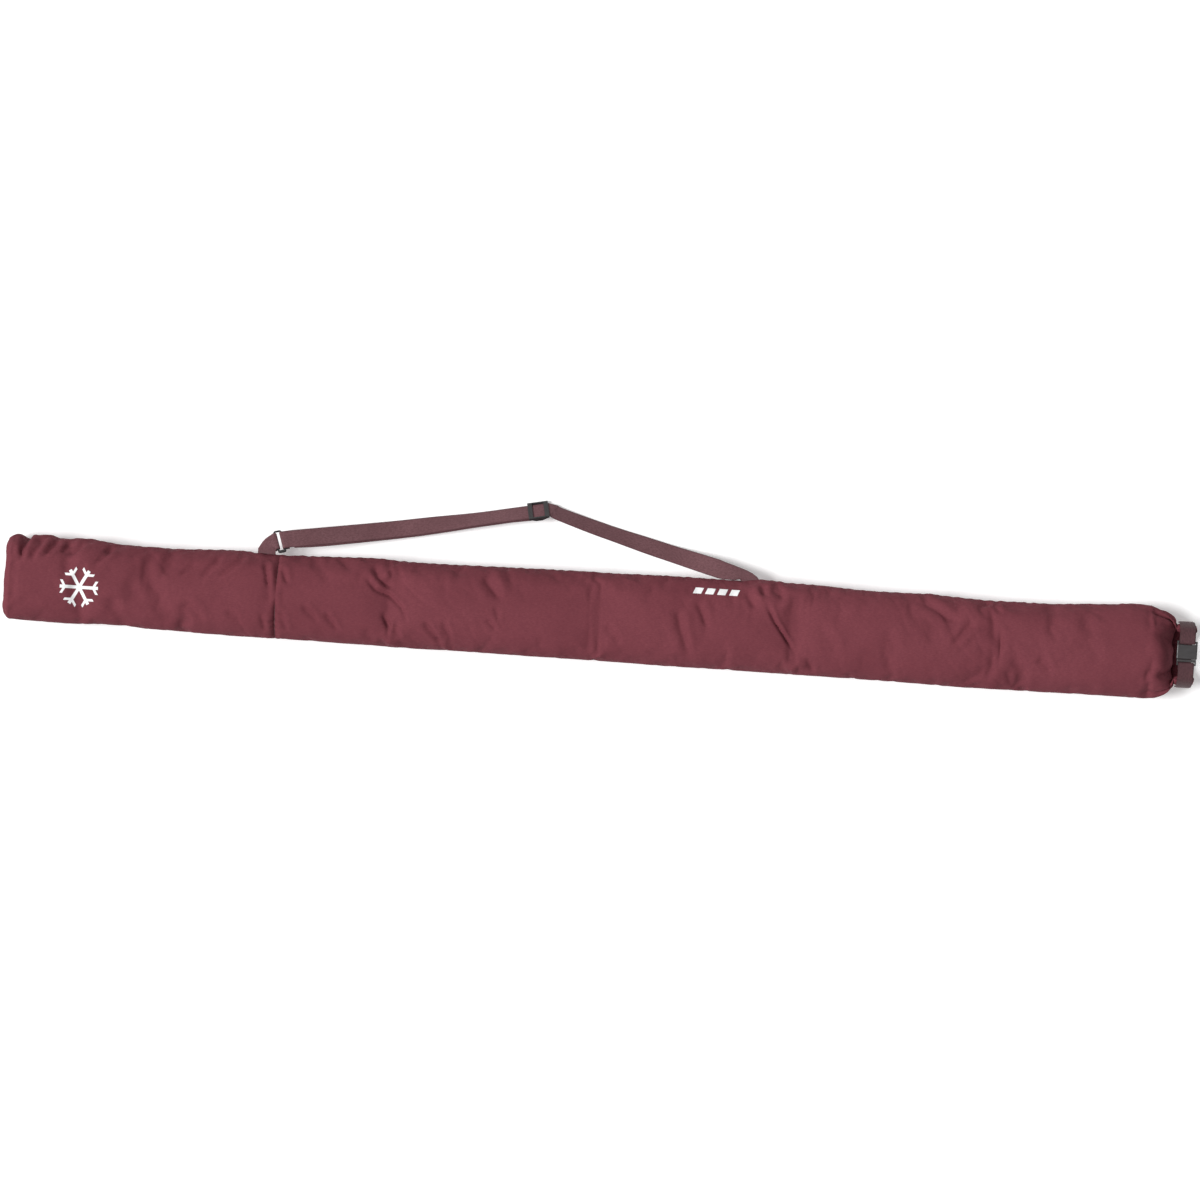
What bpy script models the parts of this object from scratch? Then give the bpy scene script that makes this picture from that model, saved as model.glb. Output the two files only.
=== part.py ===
"""Roll-top ski bag lying on the ground, with a side-release closure and an adjustable shoulder strap.

Frame: +X runs along the bag towards the rolled mouth, +Y towards the side seam that carries the strap,
+Z up. The origin is on the ground under the middle of the bag. Lengths are in metres.
"""

import math

import bmesh
import bpy
from mathutils import Matrix, Vector

MM = 0.001
GAP = 0.3 * MM  # kept between pieces that touch

# Bag: a sewn fabric tube, closed at -X and gathered at +X into the rolled mouth.
TAIL_X = -941 * MM
JOIN_X = -513 * MM  # cross seam between the two panels
SHOULDER_X = 868 * MM  # the full section ends here and the neck begins
NECK_X = 904.8 * MM
SEAM_Z = 47 * MM  # height of the side seam, where the section is widest
TOP_Z = 100 * MM
BELLY = 50 * MM  # depth of the lower curve, more than SEAM_Z so that the underside is flat
FABRIC = 1.2 * MM
END_ROUND = 16 * MM
HALF_WIDTHS = ((-941, 66), (-700, 64), (-514, 62), (-330, 67), (0, 69), (300, 71), (620, 69), (860, 73))
UPPER_POWER = 2.2  # superellipse powers of the section above and below the seam
LOWER_POWER = 3.0
AROUND = 40  # points around the bag's section
TAPE = 0.8 * MM
TAPE_WIDTH = 14 * MM
TAPE_INSET = 2.6 * MM  # from the bag's outer skin to the middle of a tape

# Mouth: the flattened neck and its roll are bent into an arc whose ends come together on top.
ROLL_CENTRE_Z = 51 * MM
ROLL_RADIUS = 44 * MM
ROLL_THICK = 12 * MM
ROLL_WIDTH = 34.4 * MM
ROLL_X = NECK_X + FABRIC + GAP + ROLL_WIDTH / 2
ROLL_TIP = math.radians(30)  # each end of the arc, above the horizontal
ROLL_WALL = 4.5 * MM
NECK_THICK = 9 * MM
STIFFENER = (24 * MM, 1.4 * MM)

# Closure: 25 mm webbing tabs and a side-release buckle whose length runs along Y.
TAB = (25 * MM, 1.8 * MM)
TAB_FROM = math.radians(-8)
TAB_LEAVES = math.radians(34)
TAB_BEND = 19 * MM
TAB_RETURN = 9 * MM
BUCKLE_X = 924.5 * MM
BUCKLE_WIDTH = 32 * MM
BUCKLE_THICK = 8 * MM
BUCKLE_WALL = 2.6 * MM
BAR_RADIUS = 1.3 * MM
SOCKET_Y = (-7 * MM, 16.2 * MM)  # mouth and closed end of the female half
FEMALE_BAR_Y = 20 * MM
PLUG_Y = -7.3 * MM  # where the male half's base meets the socket
MALE_BASE = 4.2 * MM
MALE_BAR_Y = -15.3 * MM
ARM_LENGTH = 15 * MM
RELEASE = 16 * MM  # travel that frees the male half
ARM_SWING = 6 * MM  # how far an arm's tip springs inwards over that travel
ARM_PIVOT = 10.2 * MM
ARM_THICK = 3.8 * MM
BASE_INSET = 0.8 * MM  # how much narrower the male half is than the female half, on each side
RAIL_THICK = 4 * MM
RAIL_PAST_BAR = 1.6 * MM
SOCKET_HEIGHT = 5.2 * MM
SOCKET_END = 3 * MM
WINDOW_HEIGHT = 4.6 * MM
WINDOW_END = 9.5 * MM
TONGUE = (6 * MM, 2.8 * MM)
TAB_WRAP = BAR_RADIUS + GAP + TAB[1] / 2
BUCKLE_Z = (
    ROLL_CENTRE_Z
    + (ROLL_RADIUS + ROLL_THICK / 2 + GAP + TAB[1] / 2 - TAB_BEND) * math.sin(TAB_LEAVES)
    + TAB_BEND
    - TAB_WRAP
)

# Shoulder strap: 30 mm webbing through a rectangular ring and a slider.
WEBBING = (30 * MM, 1.4 * MM)
HINGE_OFFSET = 9 * MM  # from the bag's skin to the line about which the strap swings
LOOP_X = -534 * MM
LOOP_WIDTH = 28 * MM
ANCHOR_X = 229 * MM
RING_CENTRE = Vector((-515 * MM, 84.5 * MM, 44 * MM))
RING_TURNS = (math.radians(14), math.radians(12), math.radians(-25))  # about Z, then Y, then X
RING_BAR = 5.4 * MM  # each long bar's distance from the ring's middle
RING_END = 17.4 * MM
RING_WIRE = 1.6 * MM
RING_HEAVY = (18.6 * MM, 1.6)  # the heavier end's distance from the ring's middle, and how much thicker it is
SLIDER_AT = Vector((-110 * MM, 159.5 * MM, 17.4 * MM))
SLIDER_HEADING = math.radians(11.5)
SLIDER_TILT = math.radians(46)
SLIDER_HALF = 16.5 * MM
SLIDER_RAIL = 2.8 * MM
SLIDER_BAR = 1.7 * MM
END_BAR_REACH = 3.6 * MM  # half the width of each end bar
MIDDLE_BAR_REACH = 2.4 * MM
ROOT_STITCH_OUT = 2.4 * MM  # from the bag's skin to the thread rows on the root tabs

# The strap's plan from the ring to the slider and from there to the side seam, then its height,
# its tilt and its yaw in degrees, all by X. The plan and the heights are in millimetres.
LEFT_PLAN = [
    (-497, 89.5),
    (-420, 101.5),
    (-324, 117.5),
    (-250, 131.4),
    (-190, 143.2),
    (-150, 151.4),
    (-110, 159.5),
    (-93.3, 162.9),
]
RIGHT_PLAN = [
    (-86, 161.4),
    (-74, 156),
    (-11, 137),
    (70, 115),
    (150, 94.5),
    (178, 87.5),
    (204, 84.5),
    (220, 83),
    (230, 80),
]
HEIGHTS = ((-497, 41), (-310, 13), (-192, 17.4), (-86, 17.4), (0, 12), (90, 11), (226, 47), (230, 47))
TILTS = ((-497, 25), (-430, 24), (-310, 28), (-192, 46), (-86, 46), (0, 40), (90, 28), (180, 14), (230, 0))
YAWS = ((-497, 0), (180, 0), (230, -46))
RETURN_DROP = 3.1 * MM  # from the strap's upper layer to its lower layer
RETURN_END = (-9 * MM, -5 * MM)  # where the lower layer meets the slider, along and below it

# Thread rows and printed marks.
STITCH = (1.8 * MM, 0.5 * MM)
PRINT_LIFT = 0.5 * MM
PRINT_THICK = 0.3 * MM
SNOW_AT = (-822 * MM, -9 * MM)
SNOW_REACH = 30 * MM
SNOW_ARM = 5 * MM
SNOW_BARB = 9 * MM
DASH_FROM = (142 * MM, 45 * MM)
DASH = (13 * MM, 9 * MM)  # length and rise of one dash
DASH_SLANT = 4 * MM
DASH_SPACING = 19 * MM


def smooth(t):
    return t * t * (3 - 2 * t)


def eased(table, x):
    """Reads a table of (x, value) pairs, easing in and out between them."""
    for (x0, v0), (x1, v1) in zip(table, table[1:]):
        if x < x1:
            return v0 + (v1 - v0) * smooth(max(0.0, (x - x0) / (x1 - x0)))
    return table[-1][1]


def new_material(name, colour, roughness):
    material = bpy.data.materials.new(name)
    material.use_nodes = True
    shader = material.node_tree.nodes["Principled BSDF"]
    shader.inputs["Base Color"].default_value = (*colour, 1.0)
    shader.inputs["Roughness"].default_value = roughness
    return material


def link(obj, material):
    """Moves an object into the bag's collection and gives it its material."""
    for collection in obj.users_collection:
        collection.objects.unlink(obj)
    BAG.objects.link(obj)
    obj.data.materials.clear()
    obj.data.materials.append(material)
    return obj


def mesh_object(name, vertices, faces, material):
    mesh = bpy.data.meshes.new(name)
    mesh.from_pydata([tuple(v) for v in vertices], [], faces)
    work = bmesh.new()
    work.from_mesh(mesh)
    bmesh.ops.recalc_face_normals(work, faces=work.faces)
    work.to_mesh(mesh)
    work.free()
    mesh.shade_smooth()
    mesh.set_sharp_from_angle(angle=math.radians(40))
    return link(bpy.data.objects.new(name, mesh), material)


def skin(name, rings, material, thickness, pole=None):
    """An open surface lofted through closed rings, thickened inwards. A pole closes the first ring."""
    count = len(rings[0])
    vertices = [point for ring in rings for point in ring]
    faces = [
        (r * count + i, r * count + (i + 1) % count, (r + 1) * count + (i + 1) % count, (r + 1) * count + i)
        for r in range(len(rings) - 1)
        for i in range(count)
    ]
    if pole:
        vertices.append(pole)
        faces += [(len(vertices) - 1, (i + 1) % count, i) for i in range(count)]
    obj = mesh_object(name, vertices, faces, material)
    middle = (len(rings) - 1) // 2
    centre = sum((Vector(point) for point in rings[middle]), Vector()) / count
    face_outwards(obj, Vector(rings[middle][0]) - centre, middle * count)
    wall = obj.modifiers.new("wall", "SOLIDIFY")
    wall.thickness = thickness
    wall.offset = -1
    return obj


def face_outwards(obj, outwards, face):
    """Turns an open surface round if the given face looks inwards, so that its wall grows inwards."""
    if obj.data.polygons[face].normal.dot(outwards) < 0:
        obj.data.flip_normals()


def ribbon(name, stations, size, material):
    """A flat strip through (centre, across) stations, closed at both ends."""
    width, thick = size
    centres = [Vector(centre) for centre, _ in stations]
    vertices = []
    for i, (_, across) in enumerate(stations):
        along = centres[min(i + 1, len(centres) - 1)] - centres[max(i - 1, 0)]
        normal = along.cross(across).normalized()
        for side, face in ((1, 1), (-1, 1), (-1, -1), (1, -1)):
            vertices.append(centres[i] + across * (side * width / 2) + normal * (face * thick / 2))
    faces = [(3, 2, 1, 0), tuple(range(len(vertices) - 4, len(vertices)))]
    for i in range(0, len(vertices) - 4, 4):
        faces += [(i + j, i + (j + 1) % 4, i + 4 + (j + 1) % 4, i + 4 + j) for j in range(4)]
    return mesh_object(name, vertices, faces, material)


def box(name, low, high, material=None, bevel=0.0):
    """A box between two corners. Without a material it is a cutter."""
    bpy.ops.mesh.primitive_cube_add(size=1)
    obj = bpy.context.object
    obj.name = name
    low, high = Vector(low), Vector(high)
    obj.data.transform(Matrix.Translation((low + high) / 2) @ Matrix.Diagonal((*(high - low), 1)))
    if material:
        link(obj, material)
    else:
        hide_cutter(obj)
    if bevel:
        edge = obj.modifiers.new("edge", "BEVEL")
        edge.width = bevel
        edge.segments = 2
    return obj


def rod(name, start, end, radius, sides=16):
    """A round bar between two points, kept as a helper for a Boolean."""
    start, end = Vector(start), Vector(end)
    bpy.ops.mesh.primitive_cylinder_add(vertices=sides, radius=radius, depth=(end - start).length)
    obj = bpy.context.object
    obj.name = name
    turn = (end - start).to_track_quat("Z", "Y").to_matrix().to_4x4()
    obj.data.transform(Matrix.Translation((start + end) / 2) @ turn)
    return hide_cutter(obj)


def hide_cutter(obj):
    for collection in obj.users_collection:
        collection.objects.unlink(obj)
    CUTTERS.objects.link(obj)
    obj.hide_render = True
    obj.display_type = "WIRE"
    return obj


def combine(obj, other, operation):
    boolean = obj.modifiers.new(other.name, "BOOLEAN")
    boolean.operation = operation
    boolean.solver = "EXACT"
    boolean.object = other


# The bag's skin.


def half_width(x):
    return eased(HALF_WIDTHS, x / MM) * MM


def skin_point(x, phase, out=0.0):
    """A point of the bag's section. Phase 0 is the seam side, a quarter turn is the top."""
    power = UPPER_POWER if math.sin(phase) >= 0 else LOWER_POWER
    height = TOP_Z - SEAM_Z if math.sin(phase) >= 0 else BELLY
    y = math.copysign(abs(math.cos(phase)) ** (2 / power), math.cos(phase)) * (half_width(x) + out)
    z = SEAM_Z + math.copysign(abs(math.sin(phase)) ** (2 / power), math.sin(phase)) * (height + out)
    return Vector((x, y, max(z, -out)))


def mouth_arc(phase, thick):
    """The flattened mouth bent into an arc: the lower half of the tube outside, the upper half inside."""
    bend = (math.pi + 2 * ROLL_TIP) / math.pi
    angle = ROLL_TIP - abs(phase) * bend
    side = max(-1.0, min(1.0, -4 * math.sin(phase)))
    radius = ROLL_RADIUS + side * thick / 2
    return radius * math.cos(angle), ROLL_CENTRE_Z + radius * math.sin(angle)


def phases():
    return [-math.pi + 2 * math.pi * i / AROUND for i in range(AROUND)]


def bag_ring(x, out=0.0):
    return [skin_point(x, phase, out) for phase in phases()]


def tail_ring(x, share):
    """A section of the closed end, drawn in towards the seam's height."""
    return [Vector((x, p.y * share, SEAM_Z + (p.z - SEAM_Z) * share)) for p in bag_ring(TAIL_X)]


def neck_ring(turn):
    """A section of the rounded shoulder, from the full bag at turn 0 to the flat mouth at a quarter turn."""
    x = SHOULDER_X + (NECK_X - SHOULDER_X) * math.sin(turn)
    share = 1 - math.cos(turn)
    ring = []
    for phase in phases():
        full = skin_point(SHOULDER_X, phase)
        y, z = mouth_arc(phase, NECK_THICK)
        ring.append(Vector((x, full.y + (y - full.y) * share, full.z + (z - full.z) * share)))
    return ring


def make_tail_panel():
    half = half_width(TAIL_X)
    rings = [tail_ring(TAIL_X, share * (1 - END_ROUND / half)) for share in (0.35, 0.7)]
    for turn in range(5):
        angle = math.radians(22.5 * turn)
        x = TAIL_X + END_ROUND * (1 - math.cos(angle))
        rings.append(tail_ring(x, 1 - END_ROUND * (1 - math.sin(angle)) / half))
    last = JOIN_X - GAP
    spans = 6
    start = TAIL_X + END_ROUND
    rings += [bag_ring(start + (last - start) * i / spans) for i in range(1, spans + 1)]
    skin("tail_panel", rings, CLOTH, FABRIC, pole=Vector((TAIL_X, 0, SEAM_Z)))


def make_main_panel():
    spans = 18
    rings = [bag_ring(JOIN_X + (SHOULDER_X - JOIN_X) * i / spans) for i in range(spans)]
    steps = 7
    rings += [neck_ring(math.pi / 2 * i / steps) for i in range(steps + 1)]
    skin("main_panel", rings, CLOTH, FABRIC)


def side_tape(name, start, end):
    spans = max(2, round((end - start) / (110 * MM)))
    stations = []
    for i in range(spans + 1):
        x = start + (end - start) * i / spans
        stations.append((Vector((x, half_width(x) - TAPE_INSET, SEAM_Z)), Vector((0, 0, 1))))
    ribbon(name, stations, (TAPE_WIDTH, TAPE), BINDING)


def make_tapes():
    inside = -(TAPE_INSET - TAPE / 2)
    rings = [bag_ring(JOIN_X + side * TAPE_WIDTH / 2, inside) for side in (-1, 1)]
    skin("join_seam_tape", rings, BINDING, TAPE)
    clear = TAPE_WIDTH / 2 + 3 * MM
    side_tape("tail_seam_tape", TAIL_X + END_ROUND + 4 * MM, JOIN_X - clear)
    side_tape("side_seam_tape", JOIN_X + clear, SHOULDER_X - 5 * MM)
    reach = half_width(TAIL_X) - END_ROUND - 4 * MM
    end = [(Vector((TAIL_X + TAPE_INSET, y, SEAM_Z)), Vector((0, 0, 1))) for y in (-reach, 0, reach)]
    ribbon("end_seam_tape", end, (TAPE_WIDTH, TAPE), BINDING)


# The rolled mouth and its closure.


def arc_point(angle, radius, x=ROLL_X):
    return Vector((x, radius * math.cos(angle), ROLL_CENTRE_Z + radius * math.sin(angle)))


def roll_angles(count, inset=0.0):
    start = ROLL_TIP - inset
    sweep = math.pi + 2 * start
    return [start - sweep * i / count for i in range(count + 1)]


def make_mouth_roll():
    flat = ROLL_WIDTH / 2 - ROLL_THICK / 2
    rings = []
    for angle in roll_angles(22):
        ring = []
        for i in range(16):
            turn = math.pi * (2 * i + 1) / 16
            side = math.copysign(flat, math.cos(turn)) + ROLL_THICK / 2 * math.cos(turn)
            radius = ROLL_RADIUS + ROLL_THICK / 2 * math.sin(turn)
            ring.append(arc_point(angle, radius, ROLL_X + side))
        rings.append(ring)
    skin("mouth_roll", rings, CLOTH, ROLL_WALL)
    strip = [(arc_point(angle, ROLL_RADIUS), Vector((1, 0, 0))) for angle in roll_angles(22, 0.03)]
    ribbon("stiffener_strip", strip, STIFFENER, STIFFENER_PLASTIC)


def tab_route(bar_y):
    """Route of the +Y tab: up the roll's outside, over to the buckle, round its bar and back underneath."""
    lift = ROLL_RADIUS + ROLL_THICK / 2 + GAP + TAB[1] / 2
    climb = 7
    route = []
    for i in range(climb + 1):
        route.append(arc_point(TAB_FROM + (TAB_LEAVES - TAB_FROM) * i / climb, lift, BUCKLE_X))
    leaves = route[-1]
    centre = leaves - Vector((0, math.cos(TAB_LEAVES), math.sin(TAB_LEAVES))) * TAB_BEND
    for i in range(1, 5):
        angle = TAB_LEAVES + (math.pi / 2 - TAB_LEAVES) * i / 4
        route.append(centre + Vector((0, math.cos(angle), math.sin(angle))) * TAB_BEND)
    bar = Vector((BUCKLE_X, bar_y, BUCKLE_Z))
    for i in range(7):
        angle = math.pi / 2 + math.pi * i / 6
        route.append(bar + Vector((0, math.cos(angle), math.sin(angle))) * TAB_WRAP)
    route.append(route[-1] + Vector((0, TAB_RETURN, 0)))
    return route


def make_tabs():
    across = Vector((1, 0, 0))
    for name, bar_y, side in (("female_tab", FEMALE_BAR_Y, 1), ("male_tab", -MALE_BAR_Y, -1)):
        route = [Vector((p.x, p.y * side, p.z)) for p in tab_route(bar_y)]
        ribbon(name, [(point, across) for point in route], TAB, STRAP_WEB)
        lift = ROLL_RADIUS + ROLL_THICK / 2 + 2 * GAP + TAB[1] + STITCH[1] / 2
        stitch = [arc_point(math.radians(4), lift, BUCKLE_X + x) for x in (-10 * MM, 10 * MM)]
        stitch = [(Vector((p.x, p.y * side, p.z)), Vector((0, 0, 1))) for p in stitch]
        ribbon(name + "_bartack", stitch, STITCH, THREAD)


def cut_box(target, name, x_reach, y_span, height):
    """Cuts a box from a buckle half: centred across X and Z, from one Y to another."""
    low = (BUCKLE_X - x_reach, y_span[0], BUCKLE_Z - height / 2)
    high = (BUCKLE_X + x_reach, y_span[1], BUCKLE_Z + height / 2)
    combine(target, box(name, low, high), "DIFFERENCE")


def add_bar(target, name, half, joins_y, bar_y):
    """Adds a bar for webbing, and the two rails that carry it, to a buckle half."""
    past_bar = bar_y + math.copysign(RAIL_PAST_BAR, bar_y)
    near, far = sorted((joins_y, past_bar))
    inner = BUCKLE_WIDTH / 2 - BUCKLE_WALL
    for side in (-1, 1):
        left, right = sorted((BUCKLE_X + side * half, BUCKLE_X + side * inner))
        low = (left, near, BUCKLE_Z - RAIL_THICK / 2)
        high = (right, far, BUCKLE_Z + RAIL_THICK / 2)
        combine(target, box(f"{name}_rail_{side}", low, high), "UNION")
    ends = [(BUCKLE_X + side * (half - MM), bar_y, BUCKLE_Z) for side in (-1, 1)]
    combine(target, rod(f"{name}_bar", *ends, BAR_RADIUS), "UNION")


def make_female_half():
    half = BUCKLE_WIDTH / 2
    mouth, end = SOCKET_Y
    low = (BUCKLE_X - half, mouth, BUCKLE_Z - BUCKLE_THICK / 2)
    high = (BUCKLE_X + half, end, BUCKLE_Z + BUCKLE_THICK / 2)
    body = box("buckle_female", low, high, PLASTIC, 1.2 * MM)
    cut_box(body, "socket", half - BUCKLE_WALL, (mouth - MM, end - SOCKET_END), SOCKET_HEIGHT)
    cut_box(body, "windows", 2 * half, (0, WINDOW_END), WINDOW_HEIGHT)
    add_bar(body, "female", half, end - MM, FEMALE_BAR_Y)


def make_male_half():
    half = BUCKLE_WIDTH / 2 - BASE_INSET
    low = (BUCKLE_X - half, PLUG_Y - MALE_BASE, BUCKLE_Z - 3 * MM)
    high = (BUCKLE_X + half, PLUG_Y, BUCKLE_Z + 3 * MM)
    base = box("buckle_male", low, high, PLASTIC, 0.8 * MM)
    width, thick = TONGUE
    low = (BUCKLE_X - width / 2, PLUG_Y - MM, BUCKLE_Z - thick / 2)
    high = (BUCKLE_X + width / 2, PLUG_Y + ARM_LENGTH, BUCKLE_Z + thick / 2)
    combine(base, box("tongue", low, high), "UNION")
    add_bar(base, "male", half, PLUG_Y - MALE_BASE + MM, MALE_BAR_Y)


def arm_outline():
    """Half plan of a sprung arm, as (distance from the buckle's middle, distance from the arm's root).

    The outer edge stays inside the ramp that the swing clears, so the arm leaves the window as it pulls out.
    """
    wall = BUCKLE_WIDTH / 2 - BUCKLE_WALL - GAP
    root = 2 * GAP
    slope = ARM_SWING / RELEASE / ARM_LENGTH
    mouth = -PLUG_Y
    outer = [(wall - 1.6 * MM, root), (wall - 0.8 * MM, mouth)]
    for reach in (9.5 * MM, 11.5 * MM, 13.6 * MM):
        outer.append((wall + slope * reach * (reach - mouth), reach))
    inner = [(11 * MM, ARM_LENGTH), (9.8 * MM, 13 * MM), (9.6 * MM, 8 * MM), (9.3 * MM, root)]
    return outer + inner


def make_latch_arms():
    for name, side in (("latch_arm_left", -1), ("latch_arm_right", 1)):
        curve = bpy.data.curves.new(name, "CURVE")
        curve.dimensions = "2D"
        curve.fill_mode = "BOTH"
        curve.extrude = ARM_THICK / 2
        points = arm_outline()
        spline = curve.splines.new("POLY")
        spline.points.add(len(points) - 1)
        for point, (across, reach) in zip(spline.points, points):
            point.co = (side * (across - ARM_PIVOT), reach, 0, 1)
        spline.use_cyclic_u = True
        arm = link(bpy.data.objects.new(name, curve), PLASTIC)
        arm.location = (BUCKLE_X + side * ARM_PIVOT, PLUG_Y, BUCKLE_Z)


# The shoulder strap.


def ring_frame():
    turn_z, turn_y, turn_x = RING_TURNS
    turn = Matrix.Rotation(turn_z, 4, "Z") @ Matrix.Rotation(turn_y, 4, "Y") @ Matrix.Rotation(turn_x, 4, "X")
    return Matrix.Translation(RING_CENTRE) @ turn


def slider_frame():
    turn = Matrix.Rotation(SLIDER_HEADING, 4, "Z") @ Matrix.Rotation(-SLIDER_TILT, 4, "X")
    return Matrix.Translation(SLIDER_AT) @ turn


def placed(frame, stations):
    """Stations of a ring or slider moved into the bag's frame."""
    turn = frame.to_3x3()
    return [(frame @ Vector(centre), turn @ Vector(across)) for centre, across in stations]


def plan_curve(points, steps):
    """A smooth curve through points (Catmull-Rom), with the ends repeated."""
    ends = [points[0]] + points + [points[-1]]
    curve = []
    for p0, p1, p2, p3 in zip(ends, ends[1:], ends[2:], ends[3:]):
        for i in range(steps):
            t = i / steps
            curve.append(
                p1
                + 0.5 * (p2 - p0) * t
                + (p0 - 2.5 * p1 + 2 * p2 - 0.5 * p3) * t**2
                + 0.5 * (3 * (p1 - p2) + p3 - p0) * t**3
            )
    return curve + [points[-1]]


def strap_stations(points, heights, tilts, yaws, steps):
    """Stations of a run of webbing over its plan. A tilt raises the edge nearer the bag."""
    curve = plan_curve([Vector((x * MM, y * MM)) for x, y in points], steps)
    stations = []
    for i, point in enumerate(curve):
        ahead = curve[min(i + 1, len(curve) - 1)] - curve[max(i - 1, 0)]
        x = point.x / MM
        heading = math.atan2(ahead.y, ahead.x) + math.pi / 2 + math.radians(eased(yaws, x))
        tilt = math.radians(eased(tilts, x))
        flat = math.cos(tilt)
        across = Vector((flat * math.cos(heading), flat * math.sin(heading), -math.sin(tilt)))
        stations.append((Vector((point.x, point.y, eased(heights, x) * MM)), across))
    return stations


def make_hinge_tabs():
    """The webbing ends sewn into the side seam, cut off short of the line that the strap swings about."""
    end = HINGE_OFFSET - 5.2 * MM
    for name, x, width, thick in (
        ("loop_root_tab", LOOP_X - 4 * MM, LOOP_WIDTH - 8 * MM, 3.2 * MM),
        ("strap_root_tab", ANCHOR_X + 3 * MM, WEBBING[0] - 6 * MM, WEBBING[1]),
    ):
        skin_y = half_width(x)
        ends = [Vector((x + side * width / 2, half_width(x + side * width / 2), 0)) for side in (-1, 1)]
        across = (ends[1] - ends[0]).normalized()
        stations = [(Vector((x, skin_y + y, SEAM_Z)), across) for y in (3 * GAP, end)]
        ribbon(name, stations, (width, thick), STRAP_WEB)


def make_ring():
    """A rectangular ring of round bar, heavier at the end nearest the bag."""
    corner = 2.4 * MM
    points = []
    for side_x, side_y, start in ((1, 1, 0), (-1, 1, 90), (-1, -1, 180), (1, -1, 270)):
        for i in range(5):
            angle = math.radians(start + 22.5 * i)
            reach = RING_END if side_y > 0 else RING_HEAVY[0]
            x = side_x * (RING_BAR - corner) + corner * math.cos(angle)
            y = side_y * (reach - corner) + corner * math.sin(angle)
            heavy = y < -(reach - MM)
            points.append((x, y, RING_HEAVY[1] if heavy else 1.0))
    curve = bpy.data.curves.new("strap_ring", "CURVE")
    curve.dimensions = "3D"
    curve.bevel_depth = RING_WIRE
    curve.bevel_resolution = 2
    spline = curve.splines.new("POLY")
    spline.points.add(len(points) - 1)
    for point, (x, y, size) in zip(spline.points, points):
        point.co = (x, y, 0, 1)
        point.radius = size
    spline.use_cyclic_u = True
    ring = link(bpy.data.objects.new("strap_ring", curve), PLASTIC)
    ring.matrix_world = ring_frame()


def wrap(centre_x, radius, facing, centre_z=0.0, steps=6):
    """Half a turn of webbing round a bar along the local Y, from below to above, on the side it faces."""
    stations = []
    for i in range(steps + 1):
        angle = -math.pi / 2 + math.pi * i / steps
        centre = (centre_x + facing * radius * math.cos(angle), 0, centre_z + radius * math.sin(angle))
        stations.append((centre, (0, 1, 0)))
    return stations


def make_ring_loop():
    """Doubled webbing from the side seam, fanned round to the ring's near bar."""
    hold = RING_WIRE + GAP + WEBBING[1] / 2
    near = [((-RING_BAR - 3 * MM, 0, side * hold), (0, 1, 0)) for side in (-1, 1)]
    eye = placed(ring_frame(), [near[0]] + wrap(-RING_BAR, hold, 1) + [near[1]])
    root = Vector((LOOP_X, half_width(LOOP_X) + HINGE_OFFSET + GAP, SEAM_Z))
    layer = Vector((0, 0, WEBBING[1] / 2 + 0.2 * MM))
    below, above = [], []
    for t in (0.0, 0.35, 0.7):
        for stations, last, side in ((below, eye[0], -1), (above, eye[-1], 1)):
            across = Vector((1, 0, 0)).lerp(-last[1], smooth(t)).normalized()
            stations.append(((root + side * layer).lerp(last[0], t), across))
    stations = below + [(point, -across) for point, across in eye] + above[::-1]
    ribbon("ring_loop", stations, (LOOP_WIDTH, WEBBING[1]), STRAP_WEB)


def make_strap():
    hold = RING_WIRE + GAP + WEBBING[1] / 2
    eye = placed(ring_frame(), wrap(RING_BAR, hold, -1))
    start = placed(ring_frame(), [((RING_BAR + 8 * MM, 0, -hold), (0, 1, 0))])
    run = strap_stations(LEFT_PLAN, HEIGHTS, TILTS, YAWS, 7)
    run += strap_stations(RIGHT_PLAN, HEIGHTS, TILTS, YAWS, 3)
    ribbon("shoulder_strap", start + eye + run, WEBBING, STRAP_WEB)


def make_strap_return():
    """The lower layer, from the ring back to the slider's middle bar, which it goes round."""
    run = strap_stations(LEFT_PLAN[:-2], HEIGHTS, TILTS, YAWS, 7)
    stations = []
    for i, (point, across) in enumerate(run[1:-1], 1):
        normal = (run[i + 1][0] - run[i - 1][0]).cross(across).normalized()
        stations.append((point - normal * RETURN_DROP, across))
    middle_z = -(WEBBING[1] * 1.5 + 2 * GAP + SLIDER_BAR / 2)
    hold = SLIDER_BAR / 2 + GAP + WEBBING[1] / 2
    turn = [((RETURN_END[0], 0, RETURN_END[1]), (0, 1, 0))]
    turn += wrap(2 * MM, hold, 1, middle_z)
    turn += [((-7 * MM, 0, middle_z + hold), (0, 1, 0))]
    ribbon("strap_return", stations + placed(slider_frame(), turn), WEBBING, STRAP_WEB)


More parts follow.
